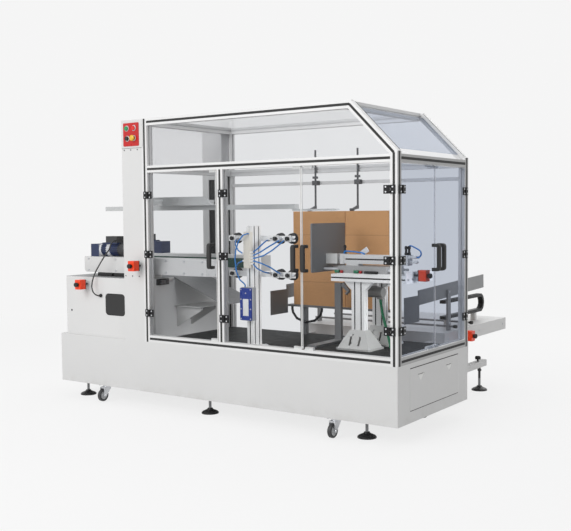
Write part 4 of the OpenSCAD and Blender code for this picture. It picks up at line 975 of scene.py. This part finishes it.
class ERECTOR_OT_push_buttons(bpy.types.Operator):
    """Makes the operator panel's buttons: a green push, a red one, a black selector and a stop head"""

    bl_idname = "erector.push_buttons"
    bl_label = "Push-buttons"

    def execute(self, context):
        low, high = (np.array(v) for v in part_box("operator_panel"))
        r = sizes().button_r
        sides = 32
        ring = turned([(0, 0), (r * 1.28, 0), (r * 1.28, 0.002), (r * 1.16, 0.0038), (r * 1.02, 0.004),
                       (r * 1.02, 0.001), (0, 0.001)], sides)
        cap = turned([(0, 0.001), (r * 0.96, 0.001), (r * 0.96, 0.009), (r * 0.88, 0.0105),
                      (0, 0.0112)], sides)
        stop = turned([(0, 0.001), (r * 0.6, 0.001), (r * 0.6, 0.010), (r * 1.25, 0.012), (r * 1.3, 0.017),
                       (r * 1.1, 0.022), (r * 0.6, 0.0245), (0, 0.025)], sides)
        knob = turned([(0, 0.001), (r * 0.96, 0.001), (r * 0.92, 0.012), (r * 0.82, 0.014),
                       (0, 0.014)], sides)
        # Place across and up the panel as shares of its size, shape and finish
        layout = ((0.24, 0.77, cap, "button_green", (0.02, 0.30, 0.10)),
                  (0.70, 0.77, cap, "button_red_cap", (0.66, 0.03, 0.02)),
                  (0.28, 0.33, knob, "button_black", (0.02, 0.02, 0.02)),
                  (0.69, 0.34, stop, "button_yellow", (0.75, 0.46, 0.03)))
        parts = []
        for u, v, shape, look, value in layout:
            button_finish(look, value)
            place = [(low[0] + u * (high[0] - low[0]), low[1], low[2] + v * (high[2] - low[2]))]
            parts.append((stamped(ring, place, [-Y]), "zinc_steel"))
            parts.append((stamped(shape, place, [-Y]), look))
        obj = piece("button_heads", parts, "machine")
        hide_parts("push_buttons")
        return {"FINISHED"}


# In millimetres: the recess for the discharge cabinet's window, as two corners, and of the pane and its rim
# the thickness, the gap round it, the corners' radius and the edge
WINDOW = (399, 11, 437), (567, 11, 571)
PANE = (1.6, 5, 22, 0.8)
RIM = (0.9, 0.2, 25.8, 0.3)


class ERECTOR_OT_cabinet_window(bpy.types.Operator):
    """Sets the black window in the discharge cabinet's recess, with the lead's gland beside it"""

    bl_idname = "erector.cabinet_window"
    bl_label = "Cabinet window"

    def execute(self, context):
        low, high = (spot(*corner) for corner in WINDOW)
        middle = (low + high) / 2
        wide, tall = (high - low)[[0, 2]]
        parts = []
        for (thick, gap, radius, edge), look in ((PANE, "black_plastic"), (RIM, "black_rubber")):
            section = outline(wide - 2 * gap * MM, tall - 2 * gap * MM, radius * MM, 6)
            parts.append((bar(middle, middle - Y * thick * MM, section, Z, edge * MM), look))
        piece("cabinet_window", parts, "machine")
        gland = turned([(0, 0.016), (0.0045, 0.016), (0.0075, 0.0145), (0.0085, 0.008), (0.011, 0.0075),
                        (0.011, 0.0), (0, 0.0)], 12)
        end = spot(*LEAD[-1])
        piece("lead_gland", [(stamped(gland, [end], [-Y]), "black_plastic")], "machine")
        return {"FINISHED"}


# Access panel on the base's right end, in millimetres: its face, its edges, the dark seams along it that
# paint its shadow lines, its flush sides' section and its finger pulls
PANEL_FACE = 2417
PANEL_Y = (131.5, 693.5)
PANEL_Z = (62, 272)
SHADOW_SEAM_DEEP, SHADOW_SEAM_OFF = 1.6, 1.8
SIDE_DEEP, SIDE_OFF = 1.7, 4
SIDE_SECTION = np.array([(8, -0.8), (-4.1, 1.65), (-4.1, -0.8)])
PULL_CORNERS = (208, 541)
PULL_WIDE, PULL_DEEP = 76, 13
PULL_Z = (199, 235)
PULL_RISE, PULL_SHARE = (0.04, 0.94), 0.98
PULL_BEHIND, PULL_LEFT, PULL_CLEAR = 0.6, 2.2, 0.1
LIP_DEEP, LIP_DROP, LIP_START, LIP_SHARE = 1.5, 1.6, 3, 0.8


def scoop(corner):
    """A finger pull's floor: four-cornered rings grow upwards from a tip as their front edge sinks in."""
    rise = np.linspace(*PULL_RISE, 8)[:, None]
    half = PULL_SHARE * PULL_WIDE / 2 * rise * np.array((-1, 1, 1, -1))
    front = PANEL_FACE - PULL_BEHIND - (PULL_DEEP - PULL_LEFT) * rise * np.array((1, 0, 0, 1))
    depth = np.where(np.array((1, 1, 0, 0)), front, PANEL_FACE - PULL_DEEP + PULL_CLEAR)
    height = PULL_Z[0] + (PULL_Z[1] - PULL_Z[0]) * rise
    verts, faces = capped(np.stack(np.broadcast_arrays(depth, corner + PULL_WIDE / 2 + half, height), -1))
    return CORNER + verts * MM, faces


class ERECTOR_OT_base_panel(bpy.types.Operator):
    """Trims the access panel: dark seams above and below and dark lips over the finger pulls, both painted
    shadow lines, flush sides and finger pulls' floors
    """

    bl_idname = "erector.base_panel"
    bl_label = "Base panel"

    def execute(self, context):
        seam = outline(0.0036, 0.0024, 0.0004, 2)
        lip = outline(0.0030, 0.0016, 0.0004, 2)
        # Painted shadow: dark strips along the panel's top and bottom edges and under each finger pull's top
        # edge
        # Depth behind the panel's face, level, two ends and section
        lines = [(SHADOW_SEAM_DEEP, z, PANEL_Y, seam) for z in (PANEL_Z[0] - SHADOW_SEAM_OFF, PANEL_Z[1] + SHADOW_SEAM_OFF)]
        lines += [(LIP_DEEP, PULL_Z[1] - LIP_DROP, (y + LIP_START, y + LIP_SHARE * PULL_WIDE), lip)
                  for y in PULL_CORNERS]
        parts = []
        for deep, z, ends, section in lines:
            start, end = (spot(PANEL_FACE - deep, y, z) for y in ends)
            parts.append((bar(start, end, section, X), "black_plastic"))
        for y, turn in ((PANEL_Y[0] - SIDE_OFF, 1), (PANEL_Y[1] + SIDE_OFF, -1)):
            low, high = (spot(PANEL_FACE - SIDE_DEEP, y, z) for z in PANEL_Z)
            parts.append((bar(low, high, SIDE_SECTION * MM * (turn, 1), X), "cabinet_paint"))
        parts += [(scoop(corner), "white_plastic") for corner in PULL_CORNERS]
        piece("base_panel_trim", parts, "machine", smooth=False)
        return {"FINISHED"}


# Cabinet trim, in millimetres: the column's rows of screws, a dark strip painting the shadow under its
# plate's lower edge, the small hole, and other blocks
COLUMN_SCREWS = ((1430, (594, 647, 700)), (685, (588, 643, 698)))
COLUMN_SHADOW_LINE = (574, -0.5, 1439.4), (734, 0.5, 1440.8)
SMALL_HOLE = (97, 8, 452)
TRIM_BLOCKS = (
    ((734.6, 104, 626), (752, 200, 662), "black_plastic"),
    ((734.6, 116, 634), (772, 148, 656), "rod_steel"),
    ((734.6, 162, 630), (764, 184, 660), "rod_steel"),
    ((734.6, 204, 638), (741, 260, 653), "zinc_steel"),
    # Black blocks in the gaps under the belt housings: painted shade there
    ((236, 104, 667.4), (360, 190, 689.6), "black_plastic"),
    ((376, 104, 667.4), (566, 190, 689.6), "black_plastic"),
    ((236, 635, 667.4), (566, 721, 689.6), "black_plastic"),
    # A black strip lining the column's groove: painted shade inside it
    ((625.6, 741.0, 788.5), (674.4, 743.2, 1272), "black_plastic"),
)


class ERECTOR_OT_cabinet_trim(bpy.types.Operator):
    """Adds the column's screws, the small hole, brackets, and black blocks under the belts and a black strip
    in the groove, both painted shade
    """

    bl_idname = "erector.cabinet_trim"
    bl_label = "Cabinet trim"

    def execute(self, context):
        places = [spot(x, 0, z) for z, row in COLUMN_SCREWS for x in row]
        hole = turned([(0, 0.0006), (0.006, 0.0006), (0.007, 0.0), (0.007, -0.0004), (0, -0.0004)], 16)
        parts = [(stamped(screw_head(sizes().trim_r), places, [-Y] * len(places)), "rod_steel"),
                 # Painted shadow: a dark strip under the control plate's lower edge
                 (block(*COLUMN_SHADOW_LINE, 0.0003), "black_plastic"),
                 (stamped(hole, [spot(*SMALL_HOLE)], [-Y]), "black_plastic")]
        parts += [(block(low, high), look) for low, high, look in TRIM_BLOCKS]
        piece("cabinet_trim", parts, "machine")
        return {"FINISHED"}


# The front belt housing's end piece, in millimetres: its size, its overlap and its screws along it and up it
NOSE_DEEP, NOSE_TALL, NOSE_REACH = 96, 98, 80
NOSE_LAP = 0.4
NOSE_SCREWS = [(u, v) for u in (14, 66) for v in (-34, 34)]


class ERECTOR_OT_belt_nose(bpy.types.Operator):
    """Lengthens the front belt housing with an end piece, screwed on in front"""

    bl_idname = "erector.belt_nose"
    bl_label = "Belt nose"

    def execute(self, context):
        low, high = (local(v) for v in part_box("belt_housings"))
        start = spot(high[0] - NOSE_LAP, low[1] + NOSE_DEEP / 2, high[2] - NOSE_TALL / 2)
        section = outline(NOSE_DEEP * MM, NOSE_TALL * MM, 0.004, 4)
        nose = bar(start, start + X * NOSE_REACH * MM, section, Z, 0.002)
        heads = [start + (X * u + Z * v - Y * NOSE_DEEP / 2) * MM for u, v in NOSE_SCREWS]
        screws = stamped(screw_head(sizes().trim_r), heads, [-Y] * len(heads))
        piece("belt_nose", [(nose, "cabinet_paint"), (screws, "zinc_steel")], "machine")
        return {"FINISHED"}


# Suction unit, in millimetres: the column's foot corner and, from there, the tubes' ends at the manifold and
# at the arms, and the cups; a clamp's thickness and the place of its stem beside it
SUCTION = np.array((1422, 100, 300))
MANIFOLD_ENDS = [((44, -16, z), X) for z in (538, 522, 506, 490, 474)]
MANIFOLD_ENDS += [((2, -16, z), -X) for z in (530, 490)]
ARM_ENDS = [(x, 80, 601) for x in (96, 176, 206, -122)] + [(x, 80, 421) for x in (180, 106, -122)]
CUPS = [(x, 80, z) for x in (-154, 148, 230) for z in (611, 411)]
CLAMP_THICK, STEM_ASIDE = 9, 34
# The valve plate's screws and label as shares of its width and height
VALVE_SCREWS = [(u, v) for v in (0.045, 0.35, 0.65, 0.955) for u in (0.09, 0.91)] + [(0.5, 0.84)]
LABEL_X, LABEL_Z = (0.26, 0.74), (0.14, 0.66)
LABEL_THICK = 1.2


class ERECTOR_OT_suction_fittings(bpy.types.Operator):
    """Adds tube collars, cup clamps with knobs, and the valve plate's blank label and screws"""

    bl_idname = "erector.suction_fittings"
    bl_label = "Suction fittings"

    def execute(self, context):
        self.clamps()
        self.valve_trim()
        return {"FINISHED"}

    def clamps(self):
        """Collars at the tubes' ends, and at each cup a clamp, a knob on it and a stem beside it."""
        collar = turned([(0, 0), (0.0068, 0), (0.0068, 0.007), (0.0058, 0.008), (0.0062, 0.013),
                         (0.0052, 0.0155), (0, 0.0155)], 14)
        knob = turned([(0, 0), (0.005, 0), (0.005, 0.006), (0.0115, 0.007), (0.0120, 0.014), (0.0095, 0.017),
                       (0, 0.0175)], 16)
        stem = turned([(0, 0), (0.0075, 0), (0.0075, 0.012), (0.004, 0.012), (0.004, 0.022), (0, 0.022)], 12)
        clamp = bar(np.zeros(3), Z * CLAMP_THICK * MM, outline(0.040, 0.036, 0.004, 3), Y, 0.001)
        at = [spot(*(SUCTION + place)) for place, _ in MANIFOLD_ENDS]
        arms = [spot(*(SUCTION + place)) for place in ARM_ENDS]
        cups = np.array([spot(*(SUCTION + place)) for place in CUPS])
        out = [-Y] * len(cups)
        parts = [(stamped(collar, at, [n for _, n in MANIFOLD_ENDS]), "white_plastic"),
                 (stamped(collar, arms, [-Y] * len(arms)), "zinc_steel"),
                 (stamped(clamp, cups, out), "white_plastic"),
                 (stamped(knob, cups - Y * CLAMP_THICK * MM, out), "black_plastic"),
                 (stamped(stem, cups + X * STEM_ASIDE * MM, out), "zinc_steel")]
        piece("suction_fittings", parts, "machine")

    def valve_trim(self):
        """Screws round the valve plate and a thin blank label on it."""
        low, high = (local(v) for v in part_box("valve_box"))
        wide, tall = (high - low)[[0, 2]]
        heads = [spot(low[0] + u * wide, low[1], low[2] + v * tall) for u, v in VALVE_SCREWS]
        corners = [(low[0] + u * wide, y, low[2] + v * tall)
                   for u, v, y in zip(LABEL_X, LABEL_Z, (low[1] - LABEL_THICK, low[1]))]
        parts = [(stamped(screw_head(sizes().trim_r), heads, [-Y] * len(heads)), "zinc_steel"),
                 (block(*corners, 0.0005), "white_plastic")]
        piece("valve_trim", parts, "machine")


# Slots inside the frame, in millimetres: start, end and outward direction; how deep their dark strips,
# painted shade of the slots, lie, and their width as a share of the outer strips'
INNER_RUNS = [((x, y, 412), (x, y, 674), -Y) for y in (370, 600) for x in (1954, 1994)]
INNER_RUNS += [((1816, 350, 695), (2272, 350, 695), -Y), ((1875, 405, 795), (2225, 405, 795), -Y)]
INNER_RUNS += [((1442, 100, a), (1442, 100, b), -Y) for a, b in ((318, 460), (648, 748))]
INNER_RUNS += [((1462, y, 318), (1462, y, 980), X) for y in (120, 160)]
INNER_DEEP = 3
INNER_SHARE = 0.74
# Sensors on the pusher's rail, in millimetres: left and right ends, front, top and finish
RAIL_TOP, SENSOR_BACK = 721.2, 359
SENSORS = ((1840, 1868, 346, 738, "sensor_green"), (1876, 1890, 346, 736, "sensor_red"),
           (1961, 1988, 346, 738, "sensor_green"), (1995, 2009, 346, 736, "sensor_red"),
           (2028, 2106, 344, 735, "black_plastic"))
# Air lines at the pusher, in millimetres: along its cylinder, and the loop at its right end
CYLINDER_LINE = np.array([
    (1853, 430, 823), (1853, 430, 832), (1864, 430, 837), (1905, 430, 836), (1945, 428, 832),
    (1972, 425, 829), (1984, 424, 823), (1984, 424, 819),
], float)
END_LOOP = np.array([
    (2308, 414, 812), (2322, 414, 814), (2330, 420, 828), (2318, 432, 846), (2286, 440, 862),
    (2256, 444, 872), (2248, 444, 866), (2248, 444, 860),
], float)
# The upright bracket on the cylinder, the connectors at its end and on its top, and the nut on its rod
BRACKET = (1960, 432, 823), (2002, 432, 851)
END_PORTS = [(2260, y, z) for y, z in ((414, 812), (446, 812), (430, 786))]
TOP_PORTS = [(2240, 424, 823), (2248, 444, 823), (1850, 442, 823)]
ROD_NUT = (1840, 430, 795)


class ERECTOR_OT_pusher_fittings(bpy.types.Operator):
    """Adds dark strips in the inner slots as painted shade, the sensors on the rail, the air lines and the
    cylinder's connectors
    """

    bl_idname = "erector.pusher_fittings"
    bl_label = "Pusher fittings"

    def execute(self, context):
        s = sizes()
        thin = outline(s.slot_shade_w * INNER_SHARE, 0.002, 0.0006, 2)
        parts = []
        # Painted shade: dark strips sunk in the inner slots
        for start, end, out in INNER_RUNS:
            sunk = out * INNER_DEEP * MM
            parts.append((bar(spot(*start) - sunk, spot(*end) - sunk, thin, out), "black_plastic"))
        piece("inner_slot_shade", parts, "machine", smooth=False)
        button_finish("sensor_green", (0.02, 0.20, 0.10))
        button_finish("sensor_red", (0.50, 0.02, 0.02))
        button_finish("line_blue", colours().tube)
        routes = (smooth_path(CORNER + route * MM) for route in (CYLINDER_LINE, END_LOOP))
        line, loop = (tube(route, s.lead_r, 10) for route in routes)
        bracket = bar(*(spot(*end) for end in BRACKET), outline(0.030, 0.004, 0.001, 2), Y)
        port = turned([(0, 0), (0.009, 0), (0.009, 0.012), (0.0065, 0.013), (0.0065, 0.030), (0.0085, 0.032),
                       (0.0085, 0.044), (0.005, 0.048), (0, 0.048)], 14)
        nut = turned([(0, 0), (0.019, 0), (0.019, 0.010), (0.017, 0.012), (0, 0.012)], 6)
        parts = [(block((left, front, RAIL_TOP), (right, SENSOR_BACK, top)), look)
                 for left, right, front, top, look in SENSORS]
        parts += [(line, "line_blue"), (bracket, "zinc_steel"),
                  (stamped(port, [spot(*end) for end in END_PORTS], [X] * len(END_PORTS)), "white_plastic"),
                  (stamped(port, [spot(*end) for end in TOP_PORTS], [Z] * len(TOP_PORTS)), "black_plastic"),
                  (loop, "line_blue"), (stamped(nut, [spot(*ROD_NUT)], [-X]), "zinc_steel")]
        piece("pusher_fittings", parts, "machine")
        return {"FINISHED"}


# An indicator's knob, in metres: its radius and half its height; its dips, their depth and their share of it
KNOB_R, KNOB_HALF = 0.0138, 0.0104
DIPS, DIP_DEEP, DIP_SHARE = 10, 0.035, 0.65


class ERECTOR_OT_knobs(bpy.types.Operator):
    """Turns each indicator's knob with scalloped sides: its radius dips ten times in a turn"""

    bl_idname = "erector.knobs"
    bl_label = "Indicator knobs"

    def execute(self, context):
        profile = np.array([(0, -1), (0.75, -1), (0.8, -0.6), (0.96, -0.45), (1, -0.2), (1, 0.6), (0.9, 0.9),
                            (0.55, 1), (0.5, 0.8), (0, 0.8)])
        verts, faces = turned(profile * (KNOB_R, KNOB_HALF), 60)
        turn = np.arctan2(verts[:, 1], verts[:, 0])
        dip = 1 - DIP_DEEP * (1 - np.cos(DIPS * turn))
        grip = np.where(np.abs(verts[:, 2]) < KNOB_HALF * DIP_SHARE, dip, 1.0)
        verts = verts * np.stack([grip, grip, np.ones_like(grip)], -1)
        for i in NUMBERS:
            joint = JOINTS[f"knob_turn_{i}"]
            shape = stamped((verts, faces), [joint["pos_m"]], [joint["axis"]])
            obj = piece(f"knob_grip_{i}", [(shape, "black_plastic")], f"knob_{i}")
            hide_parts(f"indicator_knob_{i}")
        return {"FINISHED"}


# Bolts, in millimetres: on the pusher's feet, from their middles, and on the suction column's foot
PUSHER_FEET = [(1974, y, 314) for y in (390, 620)]
FOOT_BOLTS = [(u, v) for u in (-96, 96) for v in (-74, 74)]
COLUMN_FOOT = [(x, y, 316) for x in (1402, 1482) for y in (90, 190)]
# On the side guides, beside their spindles, and on the belt housings: sides, places along them and levels
GUIDE_SIDES = ((2204, X), (1286, -X))
SPINDLES, GUIDE_LEVELS = (1041.5, 1270.6), (392, 578)
HOUSING_SIDES = ((100, -Y), (725, Y))
HOUSING_BOLTS, HOUSING_LEVELS = (160, 400, 820, 960, 1100), (704, 774)
# On the pusher's end plate, on the tray's sides and under the casters' plates, from their swivels
END_PLATE = [(2281, y, 695) for y in (365, 415, 595, 645)]
TRAY_SIDES = ((2240, X), (1250, -X))
TRAY_BOLTS, TRAY_LEVEL = (950, 1400, 1780), 312.5
CASTER_BOLTS = [(u, v) for u in (-31, 31) for v in (-28, 28)]
CASTER_PLATE = -3
# The tray's clamp knobs, the spindles' hand grips and half a caster axle's length, in millimetres
CLAMP_KNOBS = [(x, 1568, 88) for x in (2160, 1330)]
SPINDLE_GRIPS = [(2229, y, 374) for y in SPINDLES]
AXLE_HALF = 18.5


class ERECTOR_OT_bolts(bpy.types.Operator):
    """Sets the bolts of the inner feet, belt housings, side guides, end plate, tray and casters"""

    bl_idname = "erector.bolts"
    bl_label = "Bolts"

    def execute(self, context):
        rows = [((x + u, y + v, z), Z) for x, y, z in PUSHER_FEET for u, v in FOOT_BOLTS]
        rows += [(place, Z) for place in COLUMN_FOOT]
        rows += [((x, y, z), out) for x, out in GUIDE_SIDES for y in SPINDLES for z in GUIDE_LEVELS]
        rows += [((x, y, z), out) for y, out in HOUSING_SIDES for x in HOUSING_BOLTS for z in HOUSING_LEVELS]
        rows += [(place, X) for place in END_PLATE]
        rows += [((x, y, TRAY_LEVEL), out) for x, out in TRAY_SIDES for y in TRAY_BOLTS]
        wheels = [local(JOINTS[f"caster_swivel_{i}"]["pos_m"]) for i in NUMBERS]
        rows += [((c[0] + u, c[1] + v, CASTER_PLATE), -Z) for c in wheels for u, v in CASTER_BOLTS]
        bolts = stamped(screw_head(sizes().bolt_r), [spot(*place) for place, _ in rows], [n for _, n in rows])
        knob = turned([(0, 0), (0.006, 0), (0.006, 0.010), (0.017, 0.012), (0.019, 0.024), (0.015, 0.032),
                       (0, 0.034)], 24)
        grip = turned([(0, 0), (0.007, 0), (0.007, 0.004), (0.010, 0.006), (0.0105, 0.020), (0.008, 0.024),
                       (0, 0.025)], 18)
        parts = [(bolts, "zinc_steel"),
                 (stamped(knob, [spot(*place) for place in CLAMP_KNOBS], [Z, Z]), "black_plastic"),
                 (stamped(grip, [spot(*place) for place in SPINDLE_GRIPS], [X, X]), "black_plastic")]
        piece("machine_bolts", parts, "machine")
        nut = turned([(0, 0), (0.0075, 0), (0.0075, 0.004), (0.0066, 0.0052), (0, 0.0052)], 6)
        for i in NUMBERS:
            axle = np.array(JOINTS[f"caster_roll_{i}"]["pos_m"])
            nuts = stamped(nut, [axle + X * AXLE_HALF * MM, axle - X * AXLE_HALF * MM], [X, -X])
            piece(f"caster_nuts_{i}", [(nuts, "zinc_steel")], f"caster_{i}")
        return {"FINISHED"}


# Stage, in metres: half the floor's width, where its glow begins and stops fading, and the lamps' target
FLOOR_HALF = 14.0
GLOW_FADE = (2.2, 5.5)
TARGET = (0.0, 0.0, 0.8)
# Lamps: name, place, size, power in watts and, for the last one, its own target and the nodes it lights
LAMPS = (("key", (-0.9, -6.4, 3.8), 4.0, 225.0), ("overhead", (0.0, 0.4, 5.4), 4.5, 50.0),
         ("rear", (0.6, 5.2, 3.6), 3.6, 80.0))
INNER_FILL = ("inner_fill", (4.6, -0.9, 1.5), 2.0, 190.0, (0.0, -0.4, 0.7))
INNER_NODES = ("discharge_cabinet", "flap_ramp", "suction_column", "pusher_stand", "belt_housings",
               "hold_down_beam")


def aimed(name, data, side, lift, back, place):
    """A lamp's or camera's object from its right, up and back directions and its place."""
    obj = bpy.data.objects.new(name, data)
    bpy.context.scene.collection.objects.link(obj)
    obj.matrix_world = Matrix(np.column_stack([side, lift, back]).tolist()).to_4x4()
    obj.location = place
    return obj


def lamp(name, place, size, power, target=TARGET):
    """A square area lamp that faces a target."""
    data = bpy.data.lights.new(name, "AREA")
    data.energy = power
    data.size = size
    away = np.array(place) - np.array(target)
    return aimed(name, data, *axes_along(away, Z), away / np.linalg.norm(away), place)


class ERECTOR_OT_stage(bpy.types.Operator):
    """Adds the pale floor, the soft lights and the camera at the photograph's angle"""

    bl_idname = "erector.stage"
    bl_label = "Stage"

    def execute(self, context):
        self.floor()
        self.lights()
        self.inner_fill()
        self.world()
        self.camera()
        context.scene.view_settings.view_transform = "Standard"
        return {"FINISHED"}

    def floor(self):
        """A wide flat square whose own light makes it as pale as the background, under the shadow."""
        mesh = bpy.data.meshes.new("floor")
        corners = [(x * FLOOR_HALF, y * FLOOR_HALF, 0) for x, y in ((-1, -1), (1, -1), (1, 1), (-1, 1))]
        mesh.from_pydata(corners, [], [(0, 1, 2, 3)])
        p = Paper("pale_floor")
        tint = tuple(colours().backdrop)
        rays = p.add("ShaderNodeLightPath")
        seen = p.either(*(rays.outputs[f"Is {kind} Ray"] for kind in ("Camera", "Glossy", "Transmission")))
        reach = p.add("ShaderNodeVectorMath", operation="LENGTH")
        p.join(p.place, reach.inputs[0])
        near = p.span(reach.outputs["Value"], *GLOW_FADE, 1.0, 0.0)
        grain = p.mix(p.drift(0.8), shade(tint, 0.17), shade(tint, 0.172))
        own = p.mix(near, (0.0, 0.0, 0.0), grain)
        p.paint(p.mix(seen, (0.80, 0.80, 0.80), own)).set(Roughness=1.0, Specular_IOR_Level=0.0)
        glow = p.math("SUBTRACT", 1.0, p.math("MULTIPLY", near, 0.155))
        p.join(p.math("MULTIPLY", seen, glow), p.shader.inputs["Emission Strength"])
        p.set(Emission_Color=(*tint, 1))
        mesh.materials.append(p.mat)
        obj = bpy.data.objects.new("floor", mesh)
        bpy.context.scene.collection.objects.link(obj)

    def lights(self):
        """Three large soft panels: a key from the left front, one overhead and one behind."""
        for row in LAMPS:
            lamp(*row)

    def inner_fill(self):
        """A soft panel off the right end that lights only the pieces that the frame and its doors shade."""
        obj = lamp(*INNER_FILL)
        inner = bpy.data.collections.new("inner_pieces")
        for name in INNER_NODES:
            inner.objects.link(frame["nodes"][name])
        obj.light_linking.receiver_collection = inner

    def world(self):
        """Even pale surroundings: the background's own shade to the camera, softer light to all else."""
        world = bpy.data.worlds.new("studio")
        bpy.context.scene.world = world
        world.use_nodes = True
        tree = world.node_tree
        back = tree.nodes["Background"]
        back.inputs["Color"].default_value = (*colours().backdrop, 1)
        rays = tree.nodes.new("ShaderNodeLightPath")
        first = tree.nodes.new("ShaderNodeMath")
        second = tree.nodes.new("ShaderNodeMath")
        for node, a, b in ((first, rays.outputs["Is Camera Ray"], rays.outputs["Is Glossy Ray"]),
                           (second, first.outputs[0], rays.outputs["Is Transmission Ray"])):
            node.operation = "MAXIMUM"
            tree.links.new(a, node.inputs[0])
            tree.links.new(b, node.inputs[1])
        level = tree.nodes.new("ShaderNodeMapRange")
        level.inputs["To Min"].default_value = 0.62
        level.inputs["To Max"].default_value = 1.0
        tree.links.new(second.outputs[0], level.inputs["Value"])
        tree.links.new(level.outputs["Result"], back.inputs["Strength"])

    def camera(self):
        """Right, up and back of the camera from its turn, its height angle and its roll."""
        s = sizes()
        a, e, r = s.azimuth, s.elevation, s.roll
        right = np.array((math.cos(a), math.sin(a), 0))
        back = np.array((math.sin(a) * math.cos(e), -math.cos(a) * math.cos(e), math.sin(e)))
        up = np.cross(back, right)
        side = math.cos(r) * right + math.sin(r) * up
        lift = math.cos(r) * up - math.sin(r) * right
        data = bpy.data.cameras.new("camera")
        data.lens = s.lens
        data.sensor_width = 36.0
        data.clip_end = 60.0
        bpy.context.scene.camera = aimed("camera", data, side, lift, back, s.camera)


OPERATORS = (
    ERECTOR_OT_stage, ERECTOR_OT_finishes, ERECTOR_OT_motor_lead, ERECTOR_OT_slot_strips,
    ERECTOR_OT_hinge_screws, ERECTOR_OT_door_edges, ERECTOR_OT_handle_grips, ERECTOR_OT_push_buttons,
    ERECTOR_OT_cabinet_window, ERECTOR_OT_base_panel, ERECTOR_OT_cabinet_trim, ERECTOR_OT_belt_nose,
    ERECTOR_OT_suction_fittings, ERECTOR_OT_pusher_fittings, ERECTOR_OT_knobs, ERECTOR_OT_bolts,
)


class ERECTOR_PT_panel(bpy.types.Panel):
    """Lists the operators and the sizes and colours that they read"""

    bl_idname = "ERECTOR_PT_panel"
    bl_label = "Case erector"
    bl_space_type = "VIEW_3D"
    bl_region_type = "UI"
    bl_category = "Case erector"

    def draw(self, context):
        for operator in OPERATORS:
            self.layout.operator(operator.bl_idname)
        for group in (context.scene.erector_sizes, context.scene.erector_colours):
            for name in group.__annotations__:
                self.layout.prop(group, name)


CLASSES = (ErectorSizes, ErectorColours, *OPERATORS, ERECTOR_PT_panel)


def register():
    """Registers the classes and hangs the sizes and colours on the scene."""
    for cls in CLASSES:
        bpy.utils.register_class(cls)
    bpy.types.Scene.erector_sizes = PointerProperty(type=ErectorSizes)
    bpy.types.Scene.erector_colours = PointerProperty(type=ErectorColours)


def unregister():
    """Takes away what register adds."""
    del bpy.types.Scene.erector_colours
    del bpy.types.Scene.erector_sizes
    for cls in reversed(CLASSES):
        bpy.utils.unregister_class(cls)


def main():
    """Runs every operator in order."""
    register()
    bpy.ops.erector.stage()
    bpy.ops.erector.finishes()
    bpy.ops.erector.motor_lead()
    bpy.ops.erector.slot_strips()
    bpy.ops.erector.hinge_screws()
    bpy.ops.erector.door_edges()
    bpy.ops.erector.handle_grips()
    bpy.ops.erector.push_buttons()
    bpy.ops.erector.cabinet_window()
    bpy.ops.erector.base_panel()
    bpy.ops.erector.cabinet_trim()
    bpy.ops.erector.belt_nose()
    bpy.ops.erector.suction_fittings()
    bpy.ops.erector.pusher_fittings()
    bpy.ops.erector.knobs()
    bpy.ops.erector.bolts()


if __name__ == "__main__":
    main()
